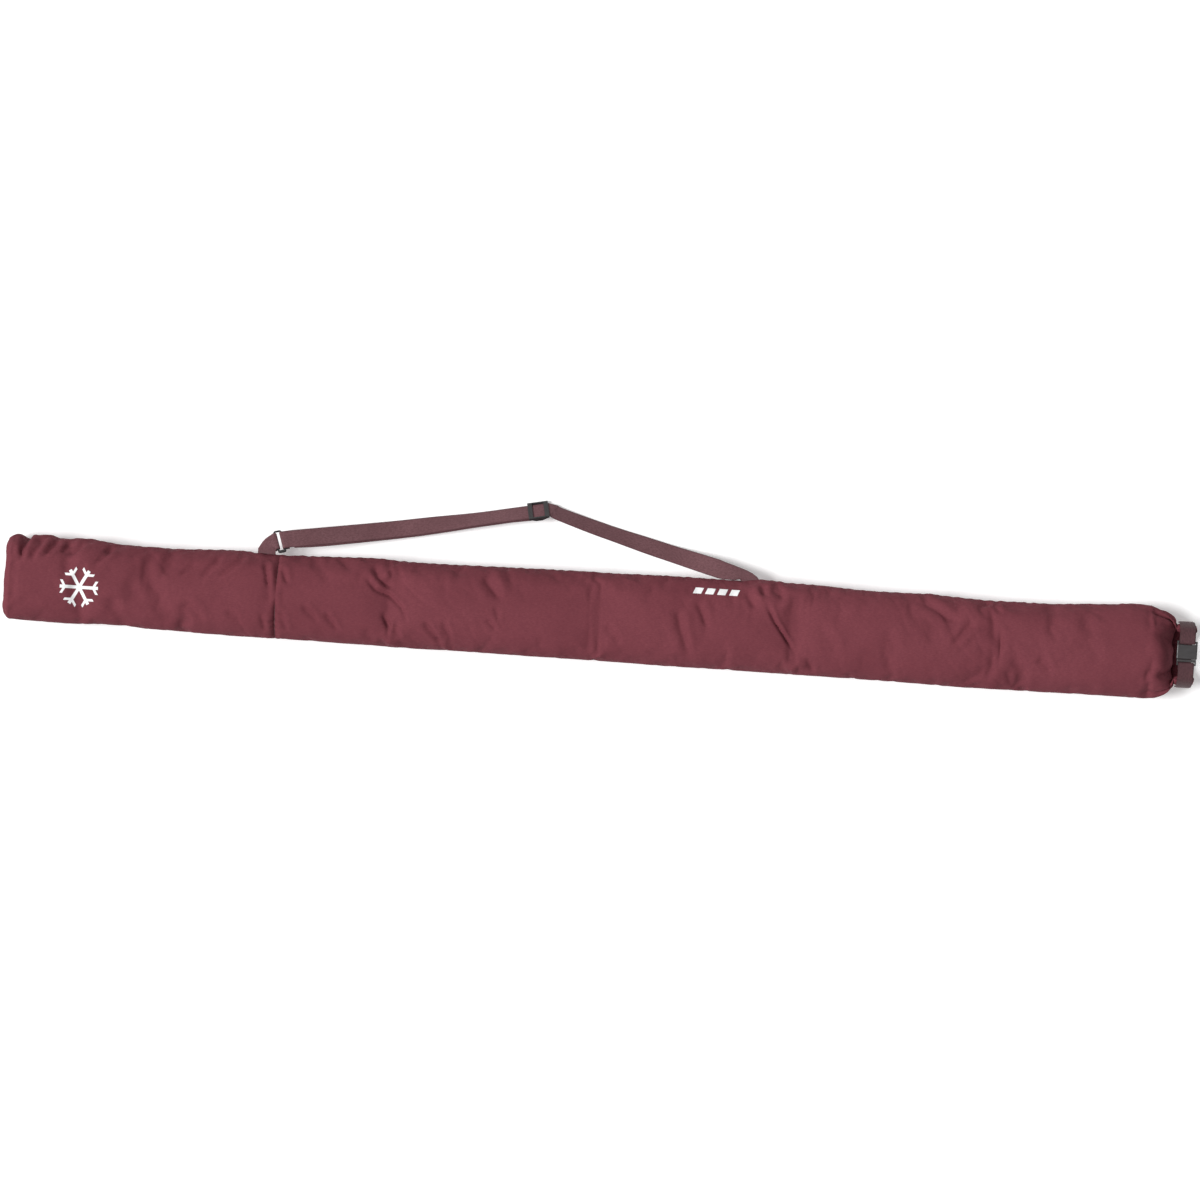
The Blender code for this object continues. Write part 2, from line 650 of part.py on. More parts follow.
def make_slider():
    """A slider whose end bars cross above the webbing and whose middle bar crosses below it."""
    frame = slider_frame()
    half_web = WEBBING[0] / 2 + 0.6 * MM
    top = WEBBING[1] / 2 + GAP + SLIDER_BAR
    middle_low = -(WEBBING[1] / 2 + 2 * GAP + WEBBING[1] + SLIDER_BAR)
    bars = []
    for name, u, reach, low in (
        ("end_bar_1", END_BAR_REACH - SLIDER_HALF, END_BAR_REACH, top - SLIDER_BAR),
        ("end_bar_2", SLIDER_HALF - END_BAR_REACH, END_BAR_REACH, top - SLIDER_BAR),
        ("middle_bar", 0, MIDDLE_BAR_REACH, middle_low),
    ):
        ends = half_web + MM
        bars.append(box(name, (u - reach, -ends, low), (u + reach, ends, low + SLIDER_BAR)))
    foot = 5 * MM
    outline = [
        (-SLIDER_HALF, top),
        (SLIDER_HALF, top),
        (SLIDER_HALF, 0),
        (foot, middle_low),
        (-foot, middle_low),
        (-SLIDER_HALF, 0),
    ]
    rails = []
    for side in (-1, 1):
        rails.append(side_rail(f"rail_{side}", outline, side * half_web, side * (half_web + SLIDER_RAIL)))
    slider = rails[0]
    slider.name = "strap_slider"
    slider.hide_render = False
    slider.display_type = "TEXTURED"
    link(slider, PLASTIC)
    slider.matrix_world = frame
    for other in bars + rails[1:]:
        other.matrix_world = frame
        combine(slider, other, "UNION")


def side_rail(name, outline, near, far):
    work = bmesh.new()
    face = work.faces.new([work.verts.new((u, near, n)) for u, n in outline])
    grown = bmesh.ops.extrude_face_region(work, geom=[face])
    moved = [v for v in grown["geom"] if isinstance(v, bmesh.types.BMVert)]
    bmesh.ops.translate(work, verts=moved, vec=(0, far - near, 0))
    bmesh.ops.recalc_face_normals(work, faces=work.faces)
    mesh = bpy.data.meshes.new(name)
    work.to_mesh(mesh)
    work.free()
    return hide_cutter(bpy.data.objects.new(name, mesh))


def make_bartacks():
    """Rows of thread that hold the ring's loop and the strap's end at the slider and at the side seam."""
    frame = slider_frame()
    depth = RETURN_END[1] - WEBBING[1] / 2 - 2 * GAP - STITCH[1] / 2
    row = [((RETURN_END[0], y, depth), (1, 0, 0)) for y in (-11 * MM, 11 * MM)]
    ribbon("strap_end_bartack", placed(frame, row), STITCH, THREAD)
    lift = SEAM_Z + WEBBING[1] / 2 + GAP + STITCH[1] / 2
    y = half_width(ANCHOR_X) + ROOT_STITCH_OUT
    along = [(Vector((ANCHOR_X + x, y, lift)), Vector((0, 1, 0))) for x in (-7 * MM, 13 * MM)]
    ribbon("strap_root_bartack", along, (1.2 * MM, STITCH[1]), THREAD)
    lift = SEAM_Z + 1.6 * MM + GAP + STITCH[1] / 2
    y = half_width(LOOP_X) + ROOT_STITCH_OUT
    along = [(Vector((LOOP_X + x, y, lift)), Vector((0, 1, 0))) for x in (-12 * MM, 4 * MM)]
    ribbon("loop_root_bartack", along, (1.2 * MM, STITCH[1]), THREAD)


# Printed marks.


def top_phase(x, y):
    return math.acos(math.copysign((abs(y) / half_width(x)) ** (UPPER_POWER / 2), y))


def printed(name, points, faces):
    """A thin film laid on the bag's skin."""
    vertices = [skin_point(x, top_phase(x, y), PRINT_LIFT) for x, y in points]
    film = mesh_object(name, vertices, faces, PRINT)
    face_outwards(film, Vector((0, 0, 1)), 0)
    wall = film.modifiers.new("film", "SOLIDIFY")
    wall.thickness = PRINT_THICK
    wall.offset = 1


def make_snow_mark():
    """A plain six-armed snow mark: a hexagon, six arms, and a pair of barbs on each arm."""
    (cx, cy), reach, arm = SNOW_AT, SNOW_REACH, SNOW_ARM
    points = [(cx, cy)]
    faces = []
    for k in range(6):
        angle = math.radians(60 * k + 30)
        points.append((cx + arm * math.cos(angle), cy + arm * math.sin(angle)))
    faces += [(0, 1 + k, 1 + (k + 1) % 6) for k in range(6)]
    steps = 6
    root = arm * math.cos(math.radians(30))
    for k in range(6):
        angle = math.radians(60 * k + 60)
        along = Vector((math.cos(angle), math.sin(angle)))
        left = Vector((-along.y, along.x))
        row = (1 + k, 1 + (k + 1) % 6)
        for i in range(1, steps + 1):
            middle = Vector((cx, cy)) + along * (root + (reach - root) * i / steps)
            start = len(points)
            points += [tuple(middle - left * arm / 2), tuple(middle + left * arm / 2)]
            faces.append((row[0], start, start + 1, row[1]))
            if i == 5:
                for side, low, high in ((-1, row[0], start), (1, start + 1, row[1])):
                    barb = (along * 0.5 + left * (side * 0.87)) * SNOW_BARB
                    tips = (tuple(Vector(points[low]) + barb), tuple(Vector(points[high]) + barb))
                    faces.append((low, len(points), len(points) + 1, high))
                    points += tips
            row = (start, start + 1)
    printed("snow_mark", points, faces)


def make_dash_marks():
    """A row of four plain slanted dashes."""
    spans = 3
    row = spans + 1
    faces = []
    for j in range(spans):
        for i in range(spans):
            corner = j * row + i
            faces.append((corner, corner + 1, corner + row + 1, corner + row))
    length, rise = DASH
    for n in range(4):
        points = []
        for j in range(row):
            left = DASH_FROM[0] + n * DASH_SPACING + DASH_SLANT * j / spans
            points += [(left + length * i / spans, DASH_FROM[1] + rise * j / spans) for i in range(row)]
        printed(f"dash_mark_{n + 1}", points, faces)


for old in list(bpy.data.objects):
    bpy.data.objects.remove(old)
BAG = bpy.data.collections.new("ski_bag")
CUTTERS = bpy.data.collections.new("cutters")
bpy.context.scene.collection.children.link(BAG)
bpy.context.scene.collection.children.link(CUTTERS)
CLOTH = new_material("cloth", (0.19, 0.052, 0.065), 0.75)
BINDING = new_material("binding", (0.09, 0.03, 0.035), 0.85)
STRAP_WEB = new_material("webbing", (0.16, 0.07, 0.08), 0.8)
PLASTIC = new_material("plastic", (0.03, 0.03, 0.032), 0.4)
STIFFENER_PLASTIC = new_material("stiffener", (0.05, 0.05, 0.05), 0.6)
THREAD = new_material("thread", (0.12, 0.04, 0.05), 0.7)
PRINT = new_material("print", (0.85, 0.85, 0.85), 0.5)

make_tail_panel()
make_main_panel()
make_tapes()
make_mouth_roll()
make_tabs()
make_female_half()
make_male_half()
make_latch_arms()
make_hinge_tabs()
make_ring()
make_ring_loop()
make_strap()
make_strap_return()
make_slider()
make_bartacks()
make_snow_mark()
make_dash_marks()
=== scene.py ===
import math

import bmesh
import bpy
import numpy as np
from mathutils import Matrix, Vector
from mathutils.bvhtree import BVHTree


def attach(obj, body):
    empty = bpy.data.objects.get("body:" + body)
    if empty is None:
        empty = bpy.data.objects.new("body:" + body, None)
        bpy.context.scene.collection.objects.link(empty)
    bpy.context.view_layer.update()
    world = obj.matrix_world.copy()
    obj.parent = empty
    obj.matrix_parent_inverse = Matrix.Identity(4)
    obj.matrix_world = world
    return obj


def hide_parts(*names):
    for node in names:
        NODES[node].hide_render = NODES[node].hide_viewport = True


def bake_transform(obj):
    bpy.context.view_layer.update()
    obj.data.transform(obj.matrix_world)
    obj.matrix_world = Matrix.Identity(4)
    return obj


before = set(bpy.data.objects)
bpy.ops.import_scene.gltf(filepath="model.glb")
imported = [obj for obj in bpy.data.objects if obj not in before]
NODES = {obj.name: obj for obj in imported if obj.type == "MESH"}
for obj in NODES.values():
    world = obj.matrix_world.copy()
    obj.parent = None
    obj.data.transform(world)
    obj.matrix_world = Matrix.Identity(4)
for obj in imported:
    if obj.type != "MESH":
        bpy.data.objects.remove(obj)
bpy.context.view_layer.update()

SCENE = bpy.context.scene
MM = 0.001

# The bag's shape, as in its CAD source. Tables are in millimetres and degrees.
TAIL_X = -941 * MM
JOIN_X = -513 * MM
SHOULDER_X = 868 * MM
NECK_X = 904.8 * MM
SEAM_Z = 47 * MM
TOP_Z = 100 * MM
BELLY = 50 * MM
END_ROUND = 11 * MM  # the cloth is drawn a little squarer here than the CAD
HALF_WIDTHS = ((-941, 66), (-700, 64), (-514, 62), (-330, 67), (0, 69), (300, 71), (620, 69), (860, 73))
UPPER_POWER = 2.2
LOWER_POWER = 3.0
WALL = 0.8 * MM  # thickness of the visible cloth
GROUND_GAP = 0.05 * MM  # under it

# The rolled mouth
ROLL_CENTRE_Z = 51 * MM
ROLL_RADIUS = 44 * MM
ROLL_THICK = 12 * MM
ROLL_WIDTH = 34.4 * MM
ROLL_TIP = math.radians(30)
NECK_THICK = 9 * MM
ROLL_X = NECK_X + 1.5 * MM + ROLL_WIDTH / 2

# The closure's webbing and the buckle
TAB = (25 * MM, 1.8 * MM)
TAB_FROM = math.radians(-8)
TAB_LEAVES = math.radians(34)
TAB_BEND = 19 * MM
TAB_RETURN = 9 * MM
TAB_WRAP = 2.5 * MM
BUCKLE_X = 924.5 * MM
FEMALE_BAR_Y = 20 * MM
MALE_BAR_Y = -15.3 * MM
LIFT = ROLL_RADIUS + ROLL_THICK / 2 + 0.3 * MM + TAB[1] / 2
BUCKLE_Z = ROLL_CENTRE_Z + (LIFT - TAB_BEND) * math.sin(TAB_LEAVES) + TAB_BEND - TAB_WRAP

# The shoulder strap, its ring and its slider
WEBBING = (30 * MM, 1.4 * MM)
HINGE_OFFSET = 9 * MM
LOOP_X = -534 * MM
LOOP_WIDTH = 28 * MM
RING_CENTRE = Vector((-515 * MM, 84.5 * MM, 44 * MM))
RING_TURNS = (math.radians(14), math.radians(12), math.radians(-25))
RING_BAR = 5.4 * MM
RING_WIRE = 1.6 * MM
HOLD = RING_WIRE + 0.3 * MM + WEBBING[1] / 2  # from the ring's bar to the middle of the webbing
SLIDER_AT = Vector((-110 * MM, 159.5 * MM, 17.4 * MM))
SLIDER_HEADING = math.radians(11.5)
SLIDER_TILT = math.radians(46)
SLIDER_BAR = 1.7 * MM
LEFT_PLAN = [
    (-497, 89.5), (-420, 101.5), (-324, 117.5), (-250, 131.4), (-190, 143.2), (-150, 151.4), (-110, 159.5),
    (-93.3, 162.9),
]
RIGHT_PLAN = [(-86, 161.4), (-74, 156), (-11, 137), (70, 115), (150, 94.5), (178, 87.5)]
HEIGHTS = ((-497, 41), (-310, 13), (-192, 17.4), (-86, 17.4), (0, 12), (90, 11), (226, 47))
TILTS = ((-497, 25), (-430, 24), (-310, 28), (-192, 46), (-86, 46), (0, 40), (90, 28), (180, 14))
RETURN_DROP = 3.1 * MM
RETURN_SLIP = 2.4 * MM  # how far the lower layer stands out beside the upper one near the ring
RETURN_END = (-9 * MM, -5 * MM)


def smooth(t):
    return t * t * (3 - 2 * t)


def eased(table, x):
    """The value at x, a number or an array, of a table of (x, value) pairs, eased between them."""
    xs, values = np.array(table, float).T
    i = np.clip(np.searchsorted(xs, x, side="right") - 1, 0, len(xs) - 2)
    t = np.clip((x - xs[i]) / (xs[i + 1] - xs[i]), 0, 1)
    return values[i] + (values[i + 1] - values[i]) * smooth(t)


def ramp(value, width):
    """Rises smoothly from 0 to 1 as the value goes from 0 to a width."""
    return smooth(np.clip(value / width, 0, 1))


def bell(distance, width):
    """1 at no distance, and almost nothing at twice the width."""
    return np.exp(-((distance / width) ** 2))


def lengths(line):
    """How far along a line each of its points lies."""
    return np.concatenate([[0], np.cumsum(np.linalg.norm(np.diff(line, axis=0), axis=1))])


def unit(rows):
    return rows / np.linalg.norm(rows, axis=1, keepdims=True)


def half_width(x):
    return eased(HALF_WIDTHS, np.asarray(x) / MM) * MM


# --- materials


class Look:
    """A Principled material and short calls for its nodes."""

    def __init__(self, name):
        self.material = bpy.data.materials.new(name)
        self.material.use_nodes = True
        self.tree = self.material.node_tree
        self.shader = self.tree.nodes["Principled BSDF"]

    def put(self, target, value):
        if isinstance(value, bpy.types.NodeSocket):
            self.tree.links.new(value, target)
        else:
            target.default_value = value

    def node(self, kind, inputs=(), output=0, **settings):
        made = self.tree.nodes.new(kind)
        for key, value in settings.items():
            setattr(made, key, value)
        for key, value in dict(inputs).items():
            self.put(made.inputs[key], value)
        return made.outputs[output]

    def maths(self, operation, a, b=0.0):
        return self.node("ShaderNodeMath", {0: a, 1: b}, operation=operation)

    def between(self, value, low, high, to_low=0.0, to_high=1.0):
        return self.node("ShaderNodeMapRange", {0: value, 1: low, 2: high, 3: to_low, 4: to_high})

    def ribs(self, value, pitch):
        """Rounded ribs, from 0 between them to 1 on top of each."""
        return self.maths("ABSOLUTE", self.maths("SINE", self.maths("MULTIPLY", value, math.pi / pitch)))

    def split(self, vector):
        made = self.tree.nodes.new("ShaderNodeSeparateXYZ")
        self.put(made.inputs[0], vector)
        return made.outputs

    def uv(self):
        """The place in the piece's flat layout, and the metres along and across it."""
        where = self.node("ShaderNodeUVMap", uv_map="flat")
        along, across = self.split(where)[:2]
        return where, along, across

    def place(self):
        return self.node("ShaderNodeTexCoord", output="Object")

    def noise(self, where, scale, detail=3.0, stretch=None):
        if stretch:
            where = self.node("ShaderNodeMapping", {"Vector": where, "Scale": stretch})
        return self.node("ShaderNodeTexNoise", {"Vector": where, "Scale": scale, "Detail": detail})

    def mix(self, factor, a, b):
        """Two colours mixed. A mix node's colours are its inputs 6 and 7 and its output 2."""
        a, b = ((*colour, 1.0) if isinstance(colour, tuple) else colour for colour in (a, b))
        return self.node("ShaderNodeMix", {0: factor, 6: a, 7: b}, output=2, data_type="RGBA")

    def bump(self, height, strength, distance, under=None):
        inputs = {"Height": height, "Strength": strength, "Distance": distance}
        if under:
            inputs["Normal"] = under
        return self.node("ShaderNodeBump", inputs)

    def finish(self, colour, roughness, normal=None, sheen=0.0):
        self.put(self.shader.inputs["Base Color"], colour)
        self.put(self.shader.inputs["Roughness"], roughness)
        if normal:
            self.put(self.shader.inputs["Normal"], normal)
        self.shader.inputs["Sheen Weight"].default_value = sheen
        return self.material


def times(colour, factor):
    return tuple(c * factor for c in colour)


def weave(look, pitch):
    """Height of a plain weave from the flat layout: over and under, with round threads."""
    where, along, across = look.uv()
    warp = look.maths("MULTIPLY", along, math.pi / pitch)
    weft = look.maths("MULTIPLY", across, math.pi / pitch)
    sin_warp, sin_weft = look.maths("SINE", warp), look.maths("SINE", weft)
    over = look.maths("GREATER_THAN", look.maths("MULTIPLY", sin_warp, sin_weft), 0.0)
    first = look.maths("MULTIPLY", look.maths("ABSOLUTE", sin_warp), over)
    second = look.maths("MULTIPLY", look.maths("ABSOLUTE", sin_weft), look.maths("SUBTRACT", 1.0, over))
    return where, look.maths("ADD", first, second)


def cloth_look():
    """Woven wine-red cloth with darker and lighter threads, almost without gloss."""
    look = Look("bag_cloth")
    where, threads = weave(look, 0.9 * MM)
    place = look.place()
    cloud = look.noise(place, 9.0)
    mottle = look.noise(place, 160.0, 2.0)
    speckle = look.noise(where, 420.0, 2.0, (0.6, 1.4, 1.0))
    slub = look.noise(where, 700.0, 2.0, (0.25, 1.6, 1.0))
    colour = look.mix(look.between(cloud, 0.3, 0.7), (0.166, 0.042, 0.054), (0.198, 0.052, 0.066))
    colour = look.mix(look.between(mottle, 0.35, 0.75, 0.0, 0.4), colour, (0.140, 0.036, 0.050))
    colour = look.mix(look.between(speckle, 0.35, 0.65, 0.0, 0.4), colour, (0.128, 0.032, 0.042))
    colour = look.mix(look.between(slub, 0.45, 0.8, 0.0, 0.35), colour, (0.240, 0.076, 0.088))
    colour = look.mix(look.between(threads, 0.0, 0.5, 0.35, 0.0), colour, (0.105, 0.030, 0.038))
    rough = look.between(mottle, 0.3, 0.7, 0.62, 0.78)
    normal = look.bump(threads, 0.35, 0.25 * MM)
    normal = look.bump(look.noise(place, 90.0), 0.12, 1.2 * MM, normal)
    look.shader.inputs["Specular IOR Level"].default_value = 0.02
    return look.finish(colour, rough, normal)


def webbing_look(name, colour, dark, rib, half):
    """Ribbed webbing: rows across, a fine diagonal twill over them, and a tighter, darker selvedge."""
    look = Look(name)
    where, along, across = look.uv()
    rows = look.ribs(along, rib)
    twill = look.ribs(look.maths("ADD", along, look.maths("MULTIPLY", across, 0.8)), 1.1 * MM)
    ends = look.ribs(across, 1.0 * MM)
    height = look.maths("ADD", look.maths("MULTIPLY", rows, 0.6), look.maths("MULTIPLY", ends, 0.4))
    grain = look.noise(where, 900.0, 2.0)
    cloud = look.noise(look.place(), 25.0)
    speckle = look.noise(where, 330.0, 2.0, (0.7, 1.3, 1.0))
    edge = look.between(look.maths("ABSOLUTE", across), half - 2.2 * MM, half - 0.8 * MM)
    tint = look.mix(look.between(cloud, 0.3, 0.7), dark, colour)
    tint = look.mix(look.between(speckle, 0.4, 0.62, 0.0, 0.55), tint, times(dark, 0.6))
    tint = look.mix(look.between(twill, 0.0, 0.5, 0.45, 0.0), tint, times(dark, 0.55))
    tint = look.mix(look.between(grain, 0.45, 0.75, 0.0, 0.45), tint, times(colour, 1.35))
    tint = look.mix(look.maths("MULTIPLY", edge, 0.45), tint, times(dark, 0.5))
    normal = look.bump(height, 0.5, 0.35 * MM)
    normal = look.bump(twill, 0.25, 0.2 * MM, normal)
    look.shader.inputs["Specular IOR Level"].default_value = 0.2
    return look.finish(tint, look.between(grain, 0.3, 0.7, 0.66, 0.82), normal, 0.05)


def plastic_look(name, colour, roughness):
    """Moulded plastic with a fine grain, faint flow marks and brighter, rubbed patches."""
    look = Look(name)
    place = look.place()
    grain = look.noise(place, 2600.0, 2.0)
    flow = look.noise(place, 60.0, 4.0, (1.0, 3.0, 1.0))
    tint = look.mix(look.between(flow, 0.35, 0.7), colour, times(colour, 1.5))
    tint = look.mix(look.between(grain, 0.5, 0.8, 0.0, 0.3), tint, times(colour, 2.2))
    rough = look.between(flow, 0.3, 0.7, roughness - 0.06, roughness + 0.1)
    normal = look.bump(grain, 0.18, 0.08 * MM)
    return look.finish(tint, rough, normal)


def thread_look():
    """Twisted sewing thread."""
    look = Look("sewing_thread")
    place = look.place()
    x, y, z = look.split(place)
    ply = look.ribs(look.maths("ADD", x, look.maths("ADD", y, z)), 0.45 * MM)
    cloud = look.noise(place, 400.0, 2.0)
    tint = look.mix(look.between(cloud, 0.3, 0.7), (0.100, 0.034, 0.042), (0.150, 0.052, 0.062))
    tint = look.mix(look.between(ply, 0.0, 0.4, 0.6, 0.0), tint, (0.04, 0.014, 0.018))
    return look.finish(tint, 0.6, look.bump(ply, 0.5, 0.1 * MM), 0.1)


def binding_look():
    """Grosgrain binding tape inside the seams."""
    look = Look("binding_tape")
    place = look.place()
    ribs = look.ribs(look.split(place)[0], 0.8 * MM)
    fuzz = look.noise(place, 500.0)
    tint = look.mix(look.between(fuzz, 0.3, 0.7), (0.075, 0.024, 0.030), (0.110, 0.038, 0.045))
    tint = look.mix(look.between(ribs, 0.0, 0.4, 0.5, 0.0), tint, (0.04, 0.014, 0.018))
    return look.finish(tint, 0.85, look.bump(ribs, 0.4, 0.2 * MM), 0.1)


def print_look():
    """White printed film with a fine grain and cracks of wear."""
    look = Look("print_film")
    place = look.place()
    grain = look.noise(place, 900.0)
    wear = look.noise(place, 220.0, 5.0)
    tint = look.mix(look.between(grain, 0.35, 0.7), (0.86, 0.86, 0.87), (0.94, 0.94, 0.94))
    tint = look.mix(look.between(wear, 0.68, 0.8, 0.0, 0.35), tint, (0.55, 0.42, 0.43))
    return look.finish(tint, look.between(grain, 0.3, 0.7, 0.42, 0.58), look.bump(grain, 0.15, 0.1 * MM))


def floor_look():
    """An almost white floor that glows a little, so that shadows on it stay pale."""
    look = Look("pale_floor")
    tint = look.mix(look.noise(look.place(), 3.0, 2.0), (0.80, 0.80, 0.80), (0.82, 0.82, 0.82))
    look.shader.inputs["Emission Color"].default_value = (1, 1, 1, 1)
    look.shader.inputs["Emission Strength"].default_value = 0.28
    return look.finish(tint, 0.9)


CLOTH = cloth_look()
STRAP_COLOURS = (0.172, 0.078, 0.088), (0.135, 0.058, 0.066)
STRAP_WEB = webbing_look("shoulder_webbing", *STRAP_COLOURS, rib=1.5 * MM, half=WEBBING[0] / 2)
TAB_COLOURS = (0.092, 0.040, 0.046), (0.069, 0.029, 0.034)
TAB_WEB = webbing_look("closure_webbing", *TAB_COLOURS, rib=1.3 * MM, half=TAB[0] / 2)
BUCKLE_PLASTIC = plastic_look("buckle_plastic", (0.023, 0.020, 0.021), 0.40)
HARDWARE = plastic_look("slider_plastic", (0.018, 0.016, 0.017), 0.38)
STIFFENER = plastic_look("stiffener_plastic", (0.05, 0.05, 0.05), 0.55)
THREAD = thread_look()
BINDING = binding_look()
PRINT = print_look()


# --- mesh helpers


def new_object(name, data):
    obj = bpy.data.objects.new(name, data)
    SCENE.collection.objects.link(obj)
    return obj


def from_grid(name, grid, flat, material, around=False, caps=False):
    """Quads through rows of points, with their flat layout as UVs. around joins each row's ends."""
    rows, columns = grid.shape[:2]
    spans = columns if around else columns - 1
    faces, corners = [], []
    for r in range(rows - 1):
        for c in range(spans):
            d = (c + 1) % columns
            faces.append((r * columns + c, r * columns + d, (r + 1) * columns + d, (r + 1) * columns + c))
            corners.append((r, c, c + 1))
    if caps:  # after the quads, so that the flat layout leaves them out
        faces.append(tuple(range(columns))[::-1])
        faces.append(tuple((rows - 1) * columns + c for c in range(columns)))
    mesh = bpy.data.meshes.new(name)
    mesh.from_pydata(grid.reshape(-1, 3).tolist(), [], faces)
    layer = mesh.uv_layers.new(name="flat")
    uv = np.zeros((len(mesh.loops), 2))
    for i, (r, c, d) in enumerate(corners):
        uv[4 * i : 4 * i + 4] = flat[r, c], flat[r, d], flat[r + 1, d], flat[r + 1, c]
    layer.data.foreach_set("uv", uv.ravel())
    mesh.shade_smooth()
    mesh.materials.append(material)
    return new_object(name, mesh)


def evaluated(obj):
    return obj.evaluated_get(bpy.context.evaluated_depsgraph_get())


def apply_modifiers(obj):
    """Replaces an object's mesh with what its modifiers make of it."""
    made = bpy.data.meshes.new_from_object(evaluated(obj))
    obj.modifiers.clear()
    old = obj.data
    obj.data = made
    bpy.data.meshes.remove(old)


def thicken(obj, thickness, offset):
    """Gives a sheet its thickness: inside it at offset -1 and outside it at 1."""
    wall = obj.modifiers.new("wall", "SOLIDIFY")
    wall.thickness = thickness
    wall.offset = offset
    apply_modifiers(obj)


class Editing:
    """A bmesh of an object's mesh, written back at the end of the block."""

    def __init__(self, obj):
        self.mesh = obj.data
        self.work = bmesh.new()

    def __enter__(self):
        self.work.from_mesh(self.mesh)
        return self.work

    def __exit__(self, *_):
        self.work.to_mesh(self.mesh)
        self.work.free()


def face_out(obj, outwards, face=0):
    if obj.data.polygons[face].normal.dot(Vector(outwards)) < 0:
        obj.data.flip_normals()
    return obj


def read(items, key, size=3):
    """A value of each of a mesh's points, as rows of numbers."""
    values = np.zeros(len(items) * size)
    items.foreach_get(key, values)
    return values.reshape(-1, size)


def move_points(obj, points):
    obj.data.vertices.foreach_set("co", points.ravel())
    obj.data.update()


def finish_piece(obj, body, nodes):
    """What a piece rides on, and the nodes it stands for, which are hidden. A blended piece has no body."""
    if body:
        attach(obj, body)
    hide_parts(*nodes)


# --- the bag's cloth

AROUND = 72  # points in a ring
STEP = 5.8 * MM  # from ring to ring
END_SHARES = (0.06, 0.2, 0.36, 0.52, 0.68, 0.84, 0.96)  # sizes of the closed end's flat rings
END_TURNS = 6  # rings round the closed end's edge
NECK_STEPS = 12
NECK_TUCK = 3 * MM  # how far the neck's cloth goes on into the roll
NECK_LEAD = 0.3  # where the folds begin before the shoulder, as a share of NECK_FOLD
NECK_FOLD = 80 * MM
NECK_CLOTH = 60 * MM  # the neck's length in the flat layout
NECK_SLOPE = 0.8  # how straight the neck runs in at the seam's side


def section(x, phase):
    """Points of the bag's section. Phase 0 is the seam side, a quarter turn is the top."""
    upper = np.sin(phase) >= 0
    power = np.where(upper, UPPER_POWER, LOWER_POWER)
    height = np.where(upper, TOP_Z - SEAM_Z, BELLY)
    y = np.sign(np.cos(phase)) * np.abs(np.cos(phase)) ** (2 / power) * half_width(x)
    z = SEAM_Z + np.sign(np.sin(phase)) * np.abs(np.sin(phase)) ** (2 / power) * height
    return np.stack([x + 0 * y, y, np.maximum(z, 0)], -1)


def even_phases():
    """Phases evenly spaced along the section's outline from the seam, and its length."""
    dense = np.linspace(0, 2 * math.pi, 4001)
    run = lengths(section(np.zeros_like(dense), dense))
    return np.interp(np.arange(AROUND) / AROUND * run[-1], run, dense), run[-1]


PHASES, GIRTH = even_phases()


def mouth_arc():
    """Y and Z round the flattened neck where it meets the roll."""
    signed = (PHASES + math.pi) % (2 * math.pi) - math.pi
    bend = (math.pi + 2 * ROLL_TIP) / math.pi
    angle = ROLL_TIP - np.abs(signed) * bend
    radius = ROLL_RADIUS + np.clip(-4 * np.sin(signed), -1, 1) * NECK_THICK / 2
    return radius * np.cos(angle), ROLL_CENTRE_Z + radius * np.sin(angle)


def bag_grid():
    """Rings of points from the middle of the closed end to the neck, each ring's X along the cloth, its
    share of the way round the shoulder, and the index of the ring at the cross seam."""
    rings, runs = [], []
    half = float(half_width(TAIL_X))
    rim = section(np.full(AROUND, TAIL_X), PHASES)

    def end_ring(x, share):
        ring = rim * (1, share, share) + (0, 0, SEAM_Z * (1 - share))
        ring[:, 0] = x
        return ring

    flat_share = 1 - END_ROUND / half
    for share in END_SHARES:
        rings.append(end_ring(TAIL_X, share * flat_share))
        runs.append(TAIL_X - half * (1 - share) * 0.8)
    for turn in range(END_TURNS + 1):
        angle = math.pi / 2 * turn / END_TURNS
        share = 1 - END_ROUND * (1 - math.sin(angle)) / half
        rings.append(end_ring(TAIL_X + END_ROUND * (1 - math.cos(angle)), share))
        runs.append(TAIL_X + END_ROUND * angle * 0.6)
    start = TAIL_X + END_ROUND
    count = round((JOIN_X - start) / STEP)
    xs = [start + (JOIN_X - start) * i / count for i in range(1, count + 1)]
    join = len(rings) + count - 1
    count = round((SHOULDER_X - JOIN_X) / STEP)
    xs += [JOIN_X + (SHOULDER_X - JOIN_X) * i / count for i in range(1, count + 1)]
    for x in xs:
        rings.append(section(np.full(AROUND, x), PHASES))
        runs.append(x)
    neck = list(np.maximum((np.array(runs) - SHOULDER_X) / NECK_FOLD, -NECK_LEAD))
    full = rings[-1]
    mouth = np.stack([0 * PHASES, *mouth_arc()], -1)
    sloping = NECK_SLOPE * np.clip(np.cos(PHASES), 0, 1)
    for i in range(1, NECK_STEPS + 1):
        t = i / NECK_STEPS
        share = 1 - math.cos(t * math.pi / 2)
        share = share + (t - share) * sloping
        ring = full + (mouth - full) * share[:, None]
        ring[:, 0] = SHOULDER_X + (NECK_X + NECK_TUCK - SHOULDER_X) * math.sin(t * math.pi / 2)
        rings.append(ring)
        runs.append(SHOULDER_X + NECK_CLOTH * t)
        neck.append(t)
    return np.array(rings), np.array(runs), np.array(neck), join


HOLD_SOFT = 0.03  # how firmly the cloth is held to its place, from 0 to 1: everywhere,
HOLD_SIDES = 0.12  # and as much more at its two sides
HELD_END = 16  # rings held more and more firmly towards the closed end
HELD_NECK = 45  # and towards the neck
ON_GROUND = 1.5 * MM  # cloth lower than this lies still
SETTLED = 24  # simulated frames
MOVE_CAP = 7 * MM


